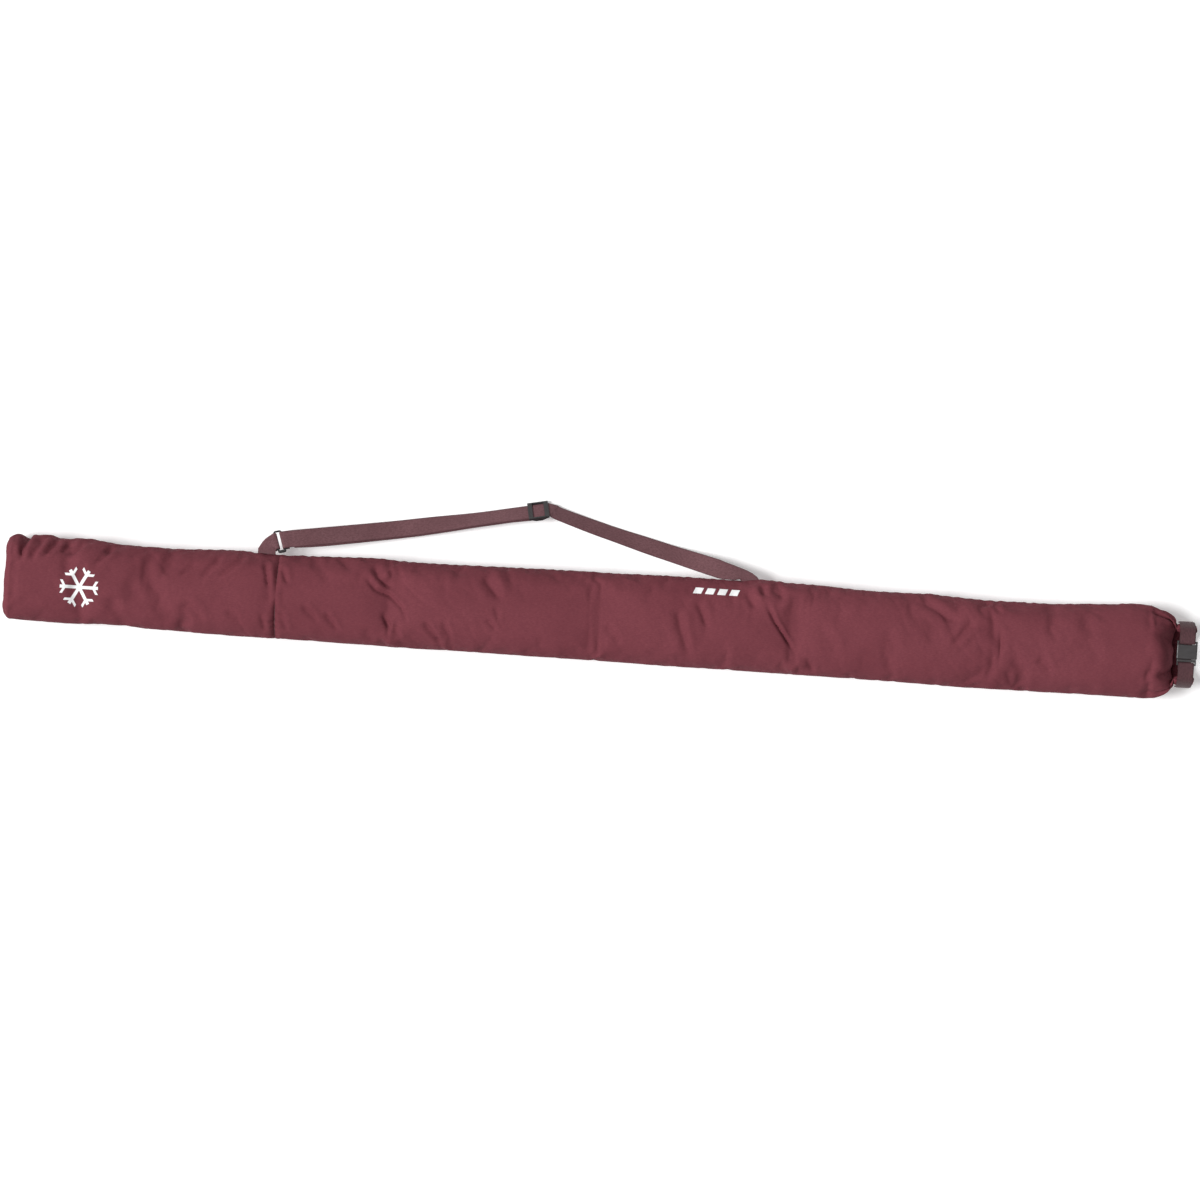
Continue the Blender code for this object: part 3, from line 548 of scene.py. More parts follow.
def pin_and_seam_weights(grid, join):
    """How firmly each point is held to its place, and where the cloth is gathered on its seams."""
    hold = HOLD_SOFT + HOLD_SIDES * np.abs(np.cos(PHASES)) ** 6 * np.ones((len(grid), 1))
    hold[grid[:, :, 2] < ON_GROUND] = 1.0
    end = np.linspace(1.0, 0.15, HELD_END)[:, None]
    neck = np.linspace(0.0, 1.0, HELD_NECK)[:, None] ** 9
    hold[:HELD_END] = np.maximum(hold[:HELD_END], end)
    hold[-HELD_NECK:] = np.maximum(hold[-HELD_NECK:], neck)
    seam = np.zeros(grid.shape[:2])
    seam[:, 0] = 1.0
    seam[join] = 1.0
    return hold, seam


def simulate(obj, hold, seam):
    """Blows the cloth out against its seams. It is cut a little larger than the space it is held to."""
    base = read(obj.data.vertices, "co")
    for name, weights in (("hold", hold), ("seam", seam)):
        group = obj.vertex_groups.new(name=name)
        for i, weight in enumerate(weights.ravel()):
            if weight > 0:
                group.add([i], float(weight), "REPLACE")
    modifier = obj.modifiers.new("cloth", "CLOTH")
    cloth = modifier.settings
    cloth.quality = 6
    cloth.mass = 0.25
    cloth.tension_stiffness = 25
    cloth.compression_stiffness = 25
    cloth.shear_stiffness = 8
    cloth.bending_stiffness = 0.3
    cloth.use_pressure = True
    cloth.uniform_pressure_force = 3.0
    cloth.vertex_group_mass = "hold"
    cloth.vertex_group_shrink = "seam"
    cloth.shrink_min = -0.035
    cloth.shrink_max = 0.01
    cloth.effector_weights.gravity = 0
    modifier.collision_settings.use_collision = False
    for number in range(1, SETTLED + 1):
        SCENE.frame_set(number)
    step = read(evaluated(obj).data.vertices, "co") - base
    obj.modifiers.clear()
    SCENE.frame_set(1)
    length = np.linalg.norm(step, axis=1, keepdims=True)
    step *= MOVE_CAP * np.tanh(length / MOVE_CAP) / np.maximum(length, 1e-9)
    return base + step


# The creased bag's outline in plan, as (X, distance from the middle) in millimetres. The seam's side is
# gathered near the closed end, held in beside the ring and drawn out at the strap's other end.
SEAM_EDGE = (
    (-925, 69.5), (-913, 64), (-884, 71.5), (-853, 66.5), (-822, 69), (-758, 62.5), (-690, 62),
    (-570, 66.5), (-540, 64), (-525, 62.5), (-500, 62.5), (-480, 64.5), (-360, 68), (-300, 66), (0, 69.5),
    (215, 71), (248, 75.5), (300, 72.5), (420, 68), (510, 69), (610, 65.8), (700, 67), (780, 71), (845, 76),
    (868, 74.5),
)
PLAIN_EDGE = (
    (-925, 67), (-850, 68), (-760, 65.5), (-700, 68), (-600, 70), (-300, 70.8), (0, 71.8), (300, 72.8),
    (660, 74.5), (868, 73),
)


def fit_outline(points, grid, neck):
    """Draws each ring's sides out or in to the outline, and eases that away over the neck."""
    rings = points.reshape(grid.shape).copy()
    full = (grid[:, 0, 0] > TAIL_X + END_ROUND) & (neck <= 0)
    first, last = np.flatnonzero(full)[[0, -1]]
    for side, table in ((1, SEAM_EDGE), (-1, PLAIN_EDGE)):
        reach = (rings[:, :, 1] * side).max(axis=1)
        ratio = eased(table, rings[:, 0, 0] / MM) * MM / reach
        ratio[:first] = ratio[first]
        ratio[last:] = 1 + (ratio[last] - 1) * (1 - np.clip(neck[last:], 0, 1))
        rings[:, :, 1] *= np.where(rings[:, :, 1] * side > 0, ratio[:, None], 1)
    return rings.reshape(-1, 3)


# Creases on the upper face: depth before CREASE_GAIN, width, and the points of its line, in millimetres.
CREASES = (
    # gathers along the seam edge near the closed end
    (3.4, 5, (-911, 72), (-913, 58), (-919, 24)), (2.8, 5, (-884, 68), (-893, 50), (-903, 26)),
    (3.0, 5, (-858, 68), (-872, 48), (-884, 34)), (1.8, 5, (-838, 60), (-856, 40)),
    (2.4, 5, (-818, 66), (-834, 46), (-850, 36)), (2.4, 5, (-772, 60), (-783, 46), (-800, 28)),
    # beside the cross seam
    (1.7, 4, (-640, 42), (-668, 18)), (0.9, 7, (-742, -34), (-812, -12), (-850, -8)),
    (1.2, 8, (-700, -42), (-640, -56)), (1.0, 6, (-672, 40), (-700, 14)),
    (2.0, 4.5, (-600, 56), (-635, 16)), (2.2, 4.5, (-562, 56), (-608, 20)),
    (2.4, 4, (-534, 52), (-528, 28), (-523, 4)), (1.8, 8, (-660, -20), (-618, -52)),
    (1.4, 6, (-590, -32), (-560, -50)), (1.8, 4, (-534, -30), (-526, -62)),
    (1.8, 4, (-506, 44), (-494, 14)), (1.6, 5, (-507, -26), (-490, -60)),
    # along the main panel
    (1.8, 5, (-472, -14), (-440, -42)), (2.2, 4.5, (-436, -24), (-407, -54)),
    (3.0, 6, (-362, 58), (-353, 40), (-332, 22)),
    (2.4, 3.6, (-378, 42), (-355, 18), (-333, 10), (-314, -7), (-299, -38)),
    (1.8, 4, (-344, -16), (-326, -48)), (1.5, 4, (-325, -34), (-312, -60)),
    (2.4, 4.5, (-280, -26), (-257, -51), (-244, -70)), (1.8, 4.5, (-250, -24), (-230, -58)),
    (3.2, 9, (-190, 52), (-172, 32), (-157, 12)), (1.6, 4, (-180, -16), (-160, -36)),
    (1.2, 4, (-168, 6), (-158, -18)), (0.3, 2.2, (-20, 50), (-18, 0), (-15, -68)),
    (1.5, 6, (6, -14), (36, -42)), (2.0, 5.5, (148, 38), (160, 14), (170, -12)),
    (2.6, 7, (118, 26), (126, -10), (146, -62)),
    # under the strap's end
    (3.0, 8, (225, 58), (232, 44), (246, 26)), (2.4, 6, (250, 68), (255, 44)),
    (1.6, 7, (262, 66), (290, 42)), (0.6, 7, (206, 62), (196, 40)),
    (3.0, 2.8, (257, 40), (275, 8), (314, -45)), (2.0, 5, (325, -42), (342, -70)),
    (1.3, 10, (340, 12), (380, -40)),
    # towards the mouth
    (2.4, 7, (498, 60), (528, 44), (566, 24)), (2.4, 6, (588, 34), (552, -12)),
    (1.6, 5, (616, 62), (630, 40)), (2.2, 7, (688, -20), (718, -46)), (1.6, 5, (642, -42), (655, -70)),
    (1.0, 9, (448, 10), (470, -30)), (1.0, 12, (760, 20), (790, -20)),
)


CREASE_GAIN = 2.0
CREASE_LOW = SEAM_Z - 16 * MM  # the creases fade in upwards from here
FROM_SEAM = 70  # a crease that starts further out, in millimetres, has its full depth there


def along_line(points, line):
    """Each point's distance from a bent line in plan, its side, and how far along it lies, from 0 to 1."""
    best = np.full(len(points), 1e9)
    share = np.zeros(len(points))
    side = np.zeros(len(points))
    spans = [math.dist(a, b) for a, b in zip(line, line[1:])]
    run = 0.0
    for a, b, length in zip(line, line[1:], spans):
        d = np.array(b, float) - a
        t = np.clip(((points - a) @ d) / length**2, 0, 1)
        away = points - a - t[:, None] * d
        far = np.linalg.norm(away, axis=1)
        near = far < best
        best[near] = far[near]
        share[near] = ((run + t * length) / sum(spans))[near]
        side[near] = np.sign(d[0] * away[:, 1] - d[1] * away[:, 0])[near]
        run += length
    return best, side, share


def crease_depths(points):
    """How far the creases move each point of the upper face. A crease is a valley with a soft lip. It
    narrows along its line and fades at both ends."""
    depth = np.zeros(len(points))
    low_fade = ramp(points[:, 2] - CREASE_LOW, 14 * MM)
    top = np.flatnonzero(low_fade)
    plan = points[top, :2] / MM
    for deep, wide, *line in CREASES:
        low = np.min(line, axis=0) - 4 * wide
        high = np.max(line, axis=0) + 4 * wide
        near = np.all((plan > low) & (plan < high), axis=1)
        far, side, share = along_line(plan[near], line)
        rise = 1 if line[0][1] > FROM_SEAM else ramp(share, 0.25)
        wide = wide * (1.15 - 0.45 * share)
        valley = np.exp(-((far / wide) ** 1.6))
        lip = 0.25 * bell(far - 1.8 * wide, wide) * (1 + 0.6 * side)
        depth[top[near]] += deep * rise * ramp(1 - share, 0.35) * (lip - valley)
    return depth * low_fade * CREASE_GAIN * MM


# --- the cloth's slack, folds and puckers

WAVES = 9
PLEATS = 9
PLEAT_DEPTH = 4.6 * MM


def value_noise(points, size, seed):
    """Smooth noise from about -1 to 1 with features of about the given size."""
    rng = np.random.default_rng(seed)
    total = np.zeros(len(points))
    for _ in range(WAVES):
        direction = rng.normal(size=3)
        direction /= np.linalg.norm(direction)
        wave = 2 * math.pi / (size * rng.uniform(0.7, 1.6))
        total += np.sin(points @ direction * wave + rng.uniform(0, 2 * math.pi))
    return total / (WAVES / 2)


def soft_waves(points):
    """Slack in the cloth: broad swells, a rounded edge to the upper face, and thin slanting folds that come
    and go. The depths are in millimetres."""
    swell = 1.5 * value_noise(points * (1, 1.4, 1.4), size=110 * MM, seed=3)
    above = points[:, 2] - SEAM_Z
    top = ramp(above, 25 * MM)
    edge = 2.4 * bell(points[:, 1] - 42 * MM, 11 * MM) + 1.4 * bell(points[:, 1] + 46 * MM, 12 * MM)
    edge *= top * (0.8 + 0.35 * value_noise(points, size=140 * MM, seed=6))
    down = points @ np.array([0.62, -0.78, 0.0])
    beside = points @ np.array([0.78, 0.62, 0.0])
    slant = np.stack([down, beside * 3.2, points[:, 2] * 1.5], -1)
    folds = -0.8 * bell(value_noise(slant, size=120 * MM, seed=5), 0.2)
    gate = smooth(np.clip(0.25 + value_noise(points, size=200 * MM, seed=8), 0, 1)) * top
    fine = 0.35 * value_noise(points, size=35 * MM, seed=12)
    calm = 1 - 0.7 * bell(above, 14 * MM)
    return ((swell + folds * gate + fine) * calm + edge) * MM


def pleats(phase, neck):
    """Folds where the neck is drawn in to the roll: round ridges with sharp pockets between them."""
    share = np.clip((neck + NECK_LEAD) / (1 + NECK_LEAD), 0, 1)
    deep = np.sin(math.pi * share**1.6)
    swing = PLEATS / 2 * phase + 0.5 + 0.6 * np.sin(2 * phase)
    ridge = 1.9 * np.abs(np.sin(swing)) ** 0.7 - 1.25 + 0.25 * np.cos(17 * phase)
    return deep * ridge * PLEAT_DEPTH


def seam_grooves(points):
    """The seams pull the cloth in, with short puckers across them. The depths are in millimetres."""
    x, y, above = points[:, 0], points[:, 1], points[:, 2] - SEAM_Z

    # the side seam
    inside = (x > TAIL_X + END_ROUND) & (x < SHOULDER_X)
    side = np.where(y > 0, np.abs(above), 1.0)
    pucker = 0.5 * np.sin(x * 2 * math.pi / (17 * MM) + 3 * value_noise(points, size=70 * MM, seed=21))
    shift = (pucker * bell(side, 9 * MM) - 1.3 * bell(side, 2.2 * MM)) * inside

    # the cross seam
    away = np.abs(x - JOIN_X)
    angle = np.arctan2(above, y)
    folds = np.sin(angle * 21 + 2.0 * np.sin(angle * 5)) + 0.6 * np.sin(angle * 34 + 1.3 * np.sin(angle * 7))
    folds *= 0.55 + 0.45 * value_noise(points, size=50 * MM, seed=31)
    shift += 0.7 * bell(away - 10 * MM, 8 * MM) - 0.5 * bell(away, 2.6 * MM)
    shift += 0.95 * folds * bell(away - 5 * MM, 11 * MM)

    # the closed end's seam
    end = np.clip((TAIL_X + 6 * MM - x) / (6 * MM), 0, 1)
    pucker = 0.7 * np.sin(y * 2 * math.pi / (19 * MM)) * bell(above, 14 * MM)
    shift += (pucker - 1.2 * bell(above, 3 * MM)) * end
    return shift * MM


# --- the two panels

MARKERS = ("phase_x", "phase_y", "neck")


def make_bag():
    """The tube of cloth, blown out, drawn to its outline and cut into the two panels."""
    grid, runs, neck, join = bag_grid()
    rows = len(grid)
    flat = np.zeros((rows, AROUND + 1, 2))
    flat[:, :, 0] = runs[:, None]
    flat[:, :, 1] = np.arange(AROUND + 1) * GIRTH / AROUND
    bag = from_grid("bag_cloth", grid, flat, CLOTH, around=True)
    face_out(bag, (0, 1, 0), rows // 2 * AROUND)
    move_points(bag, simulate(bag, *pin_and_seam_weights(grid, join)))
    move_points(bag, fit_outline(read(bag.data.vertices, "co"), grid, neck))
    phase = np.tile(PHASES, rows)
    for name, values in zip(MARKERS, (np.cos(phase), np.sin(phase), np.repeat(neck, AROUND))):
        attribute = bag.data.attributes.new(name, "FLOAT", "POINT")
        attribute.data.foreach_set("value", values.astype(np.float32))
    panels = make_panel("tail_panel_cloth", bag, 0, join), make_panel("main_panel_cloth", bag, join, rows - 1)
    bpy.data.objects.remove(bag)
    return panels


def make_panel(name, bag, low, high):
    """The cloth from ring low to ring high, made finer, creased and thickened."""
    panel = new_object(name, bag.data.copy())
    with Editing(panel) as work:
        work.verts.ensure_lookup_table()
        drop = [v for v in work.verts if not low * AROUND <= v.index < (high + 1) * AROUND]
        bmesh.ops.delete(work, geom=drop, context="VERTS")
        if low == 0:  # the middle of the closed end
            work.verts.ensure_lookup_table()
            bmesh.ops.contextual_create(work, geom=work.verts[:AROUND])
    finer = panel.modifiers.new("finer", "SUBSURF")
    finer.levels = finer.render_levels = 1
    finer.boundary_smooth = "PRESERVE_CORNERS"
    apply_modifiers(panel)
    points = read(panel.data.vertices, "co")
    normals = read(panel.data.vertex_normals, "vector")
    normals[:, 0] *= ramp(np.abs(points[:, 0] - JOIN_X), 9 * MM)  # so that the two panels meet
    cosine, sine, neck = (read(panel.data.attributes[name].data, "value", 1)[:, 0] for name in MARKERS)
    phase = np.arctan2(sine, cosine)
    loose = ramp(points[:, 2] - 1 * MM, 14 * MM) * np.clip(1 - neck, 0, 1)
    shift = crease_depths(points) + soft_waves(points) * loose + pleats(phase, neck) + seam_grooves(points)
    points += normals * shift[:, None]
    points[:, 2] = np.maximum(points[:, 2], GROUND_GAP)
    move_points(panel, points)
    thicken(panel, WALL, -1)
    panel.data.shade_smooth()
    panel.data.set_sharp_from_angle(angle=math.radians(75))
    for name in MARKERS:
        panel.data.attributes.remove(panel.data.attributes[name])
    return panel


TAIL_PANEL, MAIN_PANEL = make_bag()
for piece, node in ((TAIL_PANEL, "tail_panel"), (MAIN_PANEL, "main_panel")):
    finish_piece(piece, "bag", [node])


# --- binding tapes

TAPE_LAYERS = np.linspace(-7 * MM, 7 * MM, 8)  # heights across a tape
TAPE_DEPTH = 1.3 * MM  # from the cloth's outer face to the tape's middle
TAPE_THICK = 0.5 * MM
TAPE_PITCH = 5 * MM
CROSS_STEPS = 84


def surface_tree(*objects):
    points, faces = [], []
    for obj in objects:
        start = len(points)
        points += [v.co for v in obj.data.vertices]
        faces += [[start + v for v in p.vertices] for p in obj.data.polygons]
    return BVHTree.FromPolygons(points, faces)


BOTH_PANELS = surface_tree(TAIL_PANEL, MAIN_PANEL)


def make_tape(node, rows, closed=False):
    """A binding tape on the inside of a seam. Rows are (start, direction) rays from outside the bag."""
    grid = []
    for row in rows:
        line = []
        for start, towards in row:
            point, normal = BOTH_PANELS.ray_cast(Vector(start), Vector(towards))[:2]
            line.append(tuple(point - normal * TAPE_DEPTH))
        grid.append(line)
    grid = np.array(grid)
    flat = np.zeros((len(grid), len(TAPE_LAYERS), 2))
    flat[:, :, 0] = np.arange(len(grid))[:, None] * TAPE_PITCH
    flat[:, :, 1] = TAPE_LAYERS
    if closed:
        grid[-1] = grid[0]
    tape = from_grid(node + "_binding", grid, flat, BINDING)
    if closed:
        with Editing(tape) as work:
            bmesh.ops.remove_doubles(work, verts=work.verts, dist=0.001 * MM)
    thicken(tape, TAPE_THICK, 0)
    finish_piece(tape, "bag", [node])


def make_tapes():
    far = 0.3
    spans = (
        ("tail_seam_tape", TAIL_X + 22 * MM, JOIN_X - 12 * MM),
        ("side_seam_tape", JOIN_X + 12 * MM, SHOULDER_X - 8 * MM),
    )
    for node, low, high in spans:
        xs = np.arange(low, high, TAPE_PITCH)
        make_tape(node, [[((x, far, SEAM_Z + z), (0, -1, 0)) for z in TAPE_LAYERS] for x in xs])
    ys = np.arange(-42 * MM, 42 * MM, TAPE_PITCH)
    x = TAIL_X - far
    make_tape("end_seam_tape", [[((x, y, SEAM_Z + z), (1, 0, 0)) for z in TAPE_LAYERS] for y in ys])
    rows = []
    for i in range(CROSS_STEPS + 1):
        angle = 2 * math.pi * i / CROSS_STEPS
        y, z = math.cos(angle), math.sin(angle)
        rows.append([((JOIN_X + x, far * y, SEAM_Z + far * z), (0, -y, -z)) for x in TAPE_LAYERS])
    make_tape("join_seam_tape", rows, closed=True)


make_tapes()


# --- webbing

LAYER_GAP = 0.3 * MM  # between webbing and what it goes round
LOOP_HALF_GAP = 0.15 * MM  # half the gap between the ring loop's layers
LOOP_SHARES = (0.0, 0.14, 0.28, 0.42, 0.56, 0.7, 0.84)  # its stations between the seam and the ring
X_WAY = Vector((1, 0, 0))
TURN_STEPS = 12  # in half a turn


def webbing(name, stations, size, material):
    """Flat webbing with soft edges through (centre, across) stations."""
    width, thick = size
    centres = np.array([tuple(c) for c, _ in stations])
    across = np.array([tuple(a) for _, a in stations])
    normal = unit(np.cross(unit(np.gradient(centres, axis=0)), across))
    edge = thick / 2
    top = [(share * (width / 2 - edge), edge) for share in (1, 0.72, 0.36, 0, -0.36, -0.72, -1)]
    side = [(-width / 2 + edge * 0.3, edge * 0.7), (-width / 2, 0), (-width / 2 + edge * 0.3, -edge * 0.7)]
    outline = np.array(top + side)
    outline = np.concatenate([outline, -outline])
    grid = centres[:, None] + across[:, None] * outline[None, :, :1] + normal[:, None] * outline[None, :, 1:]
    flat = np.zeros((len(centres), len(outline) + 1, 2))
    flat[:, :, 0] = lengths(centres)[:, None]
    flat[:, :, 1] = np.append(outline[:, 0], outline[0, 0])
    obj = from_grid(name, grid, flat, material, around=True, caps=True)
    middle = len(normal) // 2
    return face_out(obj, normal[middle], middle * len(outline) + 2)


def plan_curve(points, steps):
    """A Catmull-Rom curve through points, with some steps between each two."""
    ends = [points[0]] + points + [points[-1]]
    curve = []
    for p0, p1, p2, p3 in zip(ends, ends[1:], ends[2:], ends[3:]):
        for i in range(steps):
            t = i / steps
            bend = (p0 - 2.5 * p1 + 2 * p2 - 0.5 * p3) * t**2
            curve.append(p1 + 0.5 * (p2 - p0) * t + bend + 0.5 * (3 * (p1 - p2) + p3 - p0) * t**3)
    return curve + [points[-1]]


def tilted(heading, tilt):
    """The direction across webbing with a heading in plan and a tilt down, in degrees."""
    heading, tilt = math.radians(heading), math.radians(tilt)
    return Vector((math.cos(tilt) * math.cos(heading), math.cos(tilt) * math.sin(heading), -math.sin(tilt)))


def strap_stations(points, steps):
    """Stations along part of the strap's plan, with the strap's height and tilt at each."""
    curve = plan_curve([Vector((x * MM, y * MM)) for x, y in points], steps)
    stations = []
    for i, point in enumerate(curve):
        ahead = curve[min(i + 1, len(curve) - 1)] - curve[max(i - 1, 0)]
        x = point.x / MM
        heading = math.degrees(math.atan2(ahead.y, ahead.x)) + 90
        centre = Vector((point.x, point.y, eased(HEIGHTS, x) * MM))
        stations.append((centre, tilted(heading, eased(TILTS, x))))
    return stations


def ring_frame():
    turn_z, turn_y, turn_x = RING_TURNS
    turn = Matrix.Rotation(turn_z, 4, "Z") @ Matrix.Rotation(turn_y, 4, "Y") @ Matrix.Rotation(turn_x, 4, "X")
    return Matrix.Translation(RING_CENTRE) @ turn


def slider_frame():
    turn = Matrix.Rotation(SLIDER_HEADING, 4, "Z") @ Matrix.Rotation(-SLIDER_TILT, 4, "X")
    return Matrix.Translation(SLIDER_AT) @ turn


def placed(where, stations):
    turn = where.to_3x3()
    return [(where @ Vector(centre), turn @ Vector(across)) for centre, across in stations]


def wrap(centre_x, radius, facing, centre_z=0.0):
    """Half a turn of webbing round a bar along the local Y, from below to above."""
    stations = []
    for i in range(TURN_STEPS + 1):
        angle = -math.pi / 2 + math.pi * i / TURN_STEPS
        centre = (centre_x + facing * radius * math.cos(angle), 0, centre_z + radius * math.sin(angle))
        stations.append((centre, (0, 1, 0)))
    return stations


def hinge_fold(obj):
    """Bakes the webbing's placement into its points."""
    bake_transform(obj)


# The strap's last stretch, where it turns to lie along the seam: X, Y and Z in millimetres, then heading
# and tilt of its width in degrees.
STRAP_END = (
    (186, 84.9, 39, 69, 18), (196, 82.8, 42, 61, 24), (206, 80.7, 44.5, 50, 27),
    (215, 78.8, 46, 37, 24), (222, 77, 47, 25, 17), (227.5, 75.2, 47.3, 12, 8),
    (230.5, 73.2, 47, 4, 2), (231.5, 71, 47, 0, 0), (231.5, 62, 47, 0, 0),
)


def make_strap():
    eye = placed(ring_frame(), wrap(RING_BAR, HOLD, -1))
    start = placed(ring_frame(), [((RING_BAR + 8 * MM, 0, -HOLD), (0, 1, 0))])
    run = strap_stations(LEFT_PLAN, 12) + strap_stations(RIGHT_PLAN, 6)
    end = [(Vector((x, y, z)) * MM, tilted(heading, tilt)) for x, y, z, heading, tilt in STRAP_END]
    strap = webbing("shoulder_webbing", start + eye + run + end, WEBBING, STRAP_WEB)
    finish_piece(strap, None, ["shoulder_strap", "strap_root_tab"])
    hinge_fold(strap)


def make_return():
    """The strap's lower layer, from the ring back to the slider and round its middle bar."""
    run = strap_stations(LEFT_PLAN[:-2], 12)
    stations = []
    for i, (point, across) in enumerate(run[1:-1], 1):
        normal = (run[i + 1][0] - run[i - 1][0]).cross(across).normalized()
        share = i / len(run)
        slip = RETURN_SLIP * ramp(share, 0.15) * (1 - share) ** 2
        stations.append((point - normal * RETURN_DROP - Vector((0, slip, 0)), across))
    middle_z = -(WEBBING[1] * 1.5 + 2 * LAYER_GAP + SLIDER_BAR / 2)
    hold = SLIDER_BAR / 2 + LAYER_GAP + WEBBING[1] / 2
    turn = [((RETURN_END[0], 0, RETURN_END[1]), (0, 1, 0))]
    turn += wrap(2 * MM, hold, 1, middle_z)
    turn += [((-7 * MM, 0, middle_z + hold), (0, 1, 0))]
    lower = webbing("return_webbing", stations + placed(slider_frame(), turn), WEBBING, STRAP_WEB)
    finish_piece(lower, None, ["strap_return"])
    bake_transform(lower)


def make_loop():
    """The doubled webbing from the side seam round the ring's inner bar."""
    near = [((-RING_BAR - 3 * MM, 0, side * HOLD), (0, 1, 0)) for side in (-1, 1)]
    eye = placed(ring_frame(), [near[0]] + wrap(-RING_BAR, HOLD, 1) + [near[1]])
    skin = float(half_width(LOOP_X))
    root = Vector((LOOP_X, skin + HINGE_OFFSET, SEAM_Z))
    below, above = [], []
    for stations, (last, across), side in ((below, eye[0], -1), (above, eye[-1], 1)):
        layer = Vector((0, 0, side * (WEBBING[1] / 2 + LOOP_HALF_GAP)))
        for y in (skin - 6 * MM, skin + 4 * MM):
            stations.append((Vector((LOOP_X, y, SEAM_Z)) + layer, X_WAY))
        for t in LOOP_SHARES:
            stations.append(((root + layer).lerp(last, t), X_WAY.lerp(-across, smooth(t)).normalized()))
    stations = below + [(point, -across) for point, across in eye] + above[::-1]
    loop = webbing("ring_webbing", stations, (LOOP_WIDTH, WEBBING[1]), STRAP_WEB)
    finish_piece(loop, None, ["ring_loop", "loop_root_tab"])
    hinge_fold(loop)


def arc_point(angle, radius, x=ROLL_X):
    return Vector((x, radius * math.cos(angle), ROLL_CENTRE_Z + radius * math.sin(angle)))


def tab_route(bar_y):
    """A closure tab's middle line: up the roll, over to the buckle, round its bar and back under."""
    route = []
    for i in range(TURN_STEPS + 1):
        route.append(arc_point(TAB_FROM + (TAB_LEAVES - TAB_FROM) * i / TURN_STEPS, LIFT, BUCKLE_X))
    centre = route[-1] - Vector((0, math.cos(TAB_LEAVES), math.sin(TAB_LEAVES))) * TAB_BEND
    for i in range(1, 9):
        angle = TAB_LEAVES + (math.pi / 2 - TAB_LEAVES) * i / 8
        route.append(centre + Vector((0, math.cos(angle), math.sin(angle))) * TAB_BEND)
    top, bar = route[-1], Vector((BUCKLE_X, bar_y, BUCKLE_Z))
    for i in (1, 2):
        route.append(top.lerp(bar + Vector((0, 0, TAB_WRAP)), i / 3))
    for i in range(TURN_STEPS + 1):
        angle = math.pi / 2 + math.pi * i / TURN_STEPS
        route.append(bar + Vector((0, math.cos(angle), math.sin(angle))) * TAB_WRAP)
    for i in (1, 2, 3):
        route.append(bar + Vector((0, TAB_RETURN * i / 3, -TAB_WRAP)))
    return route


def make_tabs():
    """The two closure tabs. The male one rides on no body and is baked in place."""
    for name, bar_y, side in (("female_tab", FEMALE_BAR_Y, 1), ("male_tab", -MALE_BAR_Y, -1)):
        route = [Vector((p.x, p.y * side, p.z)) for p in tab_route(bar_y)]
        tab = webbing(name + "_webbing", [(point, X_WAY) for point in route], TAB, TAB_WEB)
        finish_piece(tab, "bag" if side > 0 else None, [name])
        if side < 0:
            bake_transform(tab)


make_strap()
make_return()
make_loop()
make_tabs()


# --- the rolled mouth

ROLL_TURNS = 2.6
ROLL_PER_TURN = 34
ROLL_SHEET = 1.7 * MM  # thickness of the doubled cloth
ROLL_MARGIN = 0.9 * MM  # from the roll's outside to the middle of its outermost turn
ROLL_PULL = 2.15 * MM  # how much further in each turn lies
ROLL_STEPS = 110


def rounded(value, power):
    """Makes a sine or cosine into a squarer one."""
    return math.copysign(abs(value) ** power, value)


def roll_outline():
    """Closed outline of a flattened spiral of cloth, as (along X, outwards) points."""
    count = int(ROLL_TURNS * ROLL_PER_TURN)
    middle = []
    for i in range(count + 1):
        t = i / count
        angle = -math.pi / 2 + 2 * math.pi * ROLL_TURNS * t
        pull = ROLL_TURNS * t * ROLL_PULL
        half_x = ROLL_WIDTH / 2 - ROLL_MARGIN - pull
        half_r = max(ROLL_THICK / 2 - ROLL_MARGIN - pull * 0.72, 0.5 * MM)
        middle.append((rounded(math.cos(angle), 0.7) * half_x, rounded(math.sin(angle), 0.85) * half_r))
    middle = np.array(middle)
    along = unit(np.gradient(middle, axis=0))
    side = np.stack([along[:, 1], -along[:, 0]], -1) * ROLL_SHEET / 2
    return np.concatenate([middle + side, (middle - side)[::-1]])


def ripple(run, pitch, start=0.0):
    return math.sin(run * 2 * math.pi / pitch + start)


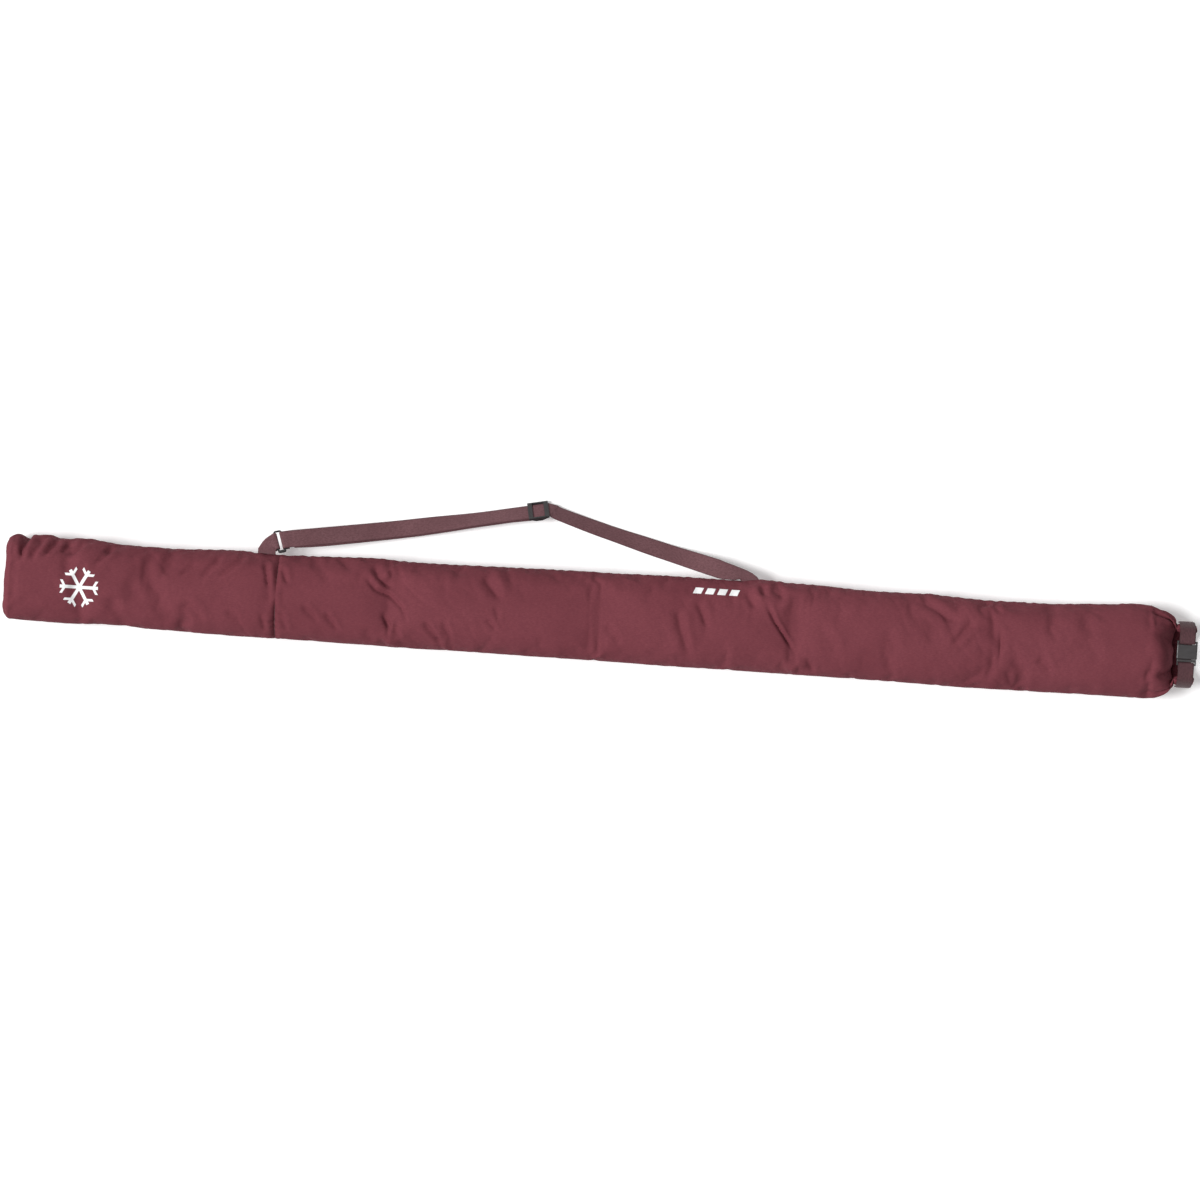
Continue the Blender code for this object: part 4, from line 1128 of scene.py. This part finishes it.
def make_roll():
    """The spiral swept round the mouth's arc, with the lumps and twists of rolled cloth."""
    outline = roll_outline()
    sweep = math.pi + 2 * ROLL_TIP
    grid = np.zeros((ROLL_STEPS + 1, len(outline), 3))
    flat = np.zeros((ROLL_STEPS + 1, len(outline) + 1, 2))
    width = lengths(outline)
    flat[:, :, 1] = np.append(width, width[-1])
    for i in range(ROLL_STEPS + 1):
        angle = ROLL_TIP - sweep * i / ROLL_STEPS
        run = sweep * ROLL_RADIUS * i / ROLL_STEPS
        wobble = 0.55 * ripple(run, 31 * MM) + 0.35 * ripple(run, 13.7 * MM, 1.0)
        twist = 0.03 * ripple(run, 52 * MM)
        for j, (x, r) in enumerate(outline):
            swell = 1 + 0.035 * ripple(run, 23 * MM, x * 160)
            radius = ROLL_RADIUS + r * swell + wobble * MM * (0.4 + abs(r) / ROLL_THICK) + twist * x
            grid[i, j] = arc_point(angle, radius, ROLL_X + x * (1 + 0.01 * wobble))
        flat[i, :, 0] = run
    roll = from_grid("mouth_roll_cloth", grid, flat, CLOTH, around=True, caps=True)
    with Editing(roll) as work:
        bmesh.ops.triangulate(work, faces=[f for f in work.faces if len(f.verts) > 4])
        bmesh.ops.recalc_face_normals(work, faces=work.faces)
    finish_piece(roll, "bag", ["mouth_roll"])


make_roll()


# --- prints, hardware, thread

FILM_GAP = 0.12 * MM  # above the cloth
FILM_THICK = 0.22 * MM


def make_prints():
    """The printed marks, laid on the creased cloth."""
    for name in ["snow_mark"] + [f"dash_mark_{i}" for i in range(1, 5)]:
        panel = TAIL_PANEL if name == "snow_mark" else MAIN_PANEL
        tree = surface_tree(panel)
        film = new_object(name + "_film", NODES[name].data.copy())
        with Editing(film) as work:
            bmesh.ops.remove_doubles(work, verts=work.verts, dist=0.02 * MM)
            sides = [f for f in work.faces if f.normal.z < 0.5]
            bmesh.ops.delete(work, geom=sides, context="FACES")
            bmesh.ops.subdivide_edges(work, edges=work.edges, cuts=2, use_grid_fill=True)
            for vert in work.verts:
                start = Vector((vert.co.x, vert.co.y, 2 * TOP_Z))
                point, normal = tree.ray_cast(start, Vector((0, 0, -1)))[:2]
                vert.co = point + normal * FILM_GAP
        film.data.materials.clear()
        film.data.materials.append(PRINT)
        thicken(film, FILM_THICK, 1)
        finish_piece(film, "bag", [name])


def dress_node(name, material, bevel=0.0):
    """Gives a CAD node that stays its finish, and rounds its edges."""
    node = NODES[name]
    node.data.materials.clear()
    node.data.materials.append(material)
    if bevel:
        weld = node.modifiers.new("weld", "WELD")
        weld.merge_threshold = 0.01 * MM
        edge = node.modifiers.new("edge", "BEVEL")
        edge.width = bevel
        edge.segments = 2
        edge.limit_method = "ANGLE"
        edge.angle_limit = math.radians(35)


make_prints()
for name in ("buckle_female", "buckle_male", "latch_arm_left", "latch_arm_right"):
    dress_node(name, BUCKLE_PLASTIC, 0.25 * MM)
dress_node("strap_slider", HARDWARE, 0.4 * MM)
dress_node("strap_ring", HARDWARE)
dress_node("stiffener_strip", STIFFENER)
for name in NODES:
    if name.endswith("bartack"):
        dress_node(name, THREAD)


# --- floor, light and camera


def make_stage():
    reach, z = 9.0, -0.4 * MM
    grid = np.array([[(x, y, z) for x in (-reach, reach)] for y in (-reach, reach)])
    floor = from_grid("studio_floor", grid, np.zeros((2, 2, 2)), floor_look())
    face_out(floor, (0, 0, 1))


def soft_sun(name, towards, spread, strength):
    """Even light from one direction, from a source as wide as a large studio panel."""
    light = bpy.data.lights.new(name, "SUN")
    light.angle = spread
    light.energy = strength
    obj = new_object(name, light)
    obj.location = towards
    obj.rotation_euler = Vector(towards).to_track_quat("Z", "Y").to_euler()


def make_lights():
    world = bpy.data.worlds.new("studio")
    SCENE.world = world
    world.use_nodes = True
    background = world.node_tree.nodes["Background"]
    background.inputs["Color"].default_value = (1, 1, 1, 1)
    background.inputs["Strength"].default_value = 0.23
    soft_sun("key", (-0.72, -0.06, 1.0), math.radians(20), 3.2)
    soft_sun("fill", (0.3, 0.0, 1.6), math.radians(50), 0.4)


def make_camera():
    """Straight above the bag, turned a few degrees so that the bag runs down to the right."""
    height_above = 9.0
    seen_width = 1.898
    camera = bpy.data.cameras.new("camera")
    camera.sensor_width = 36
    camera.lens = camera.sensor_width * height_above / seen_width
    obj = new_object("camera", camera)
    obj.location = (-3.2 * MM, 25 * MM, SEAM_Z + height_above)
    obj.rotation_euler = (0, 0, math.radians(3.8))
    bpy.context.scene.camera = obj


make_stage()
make_lights()
make_camera()
SCENE.view_settings.view_transform = "Standard"
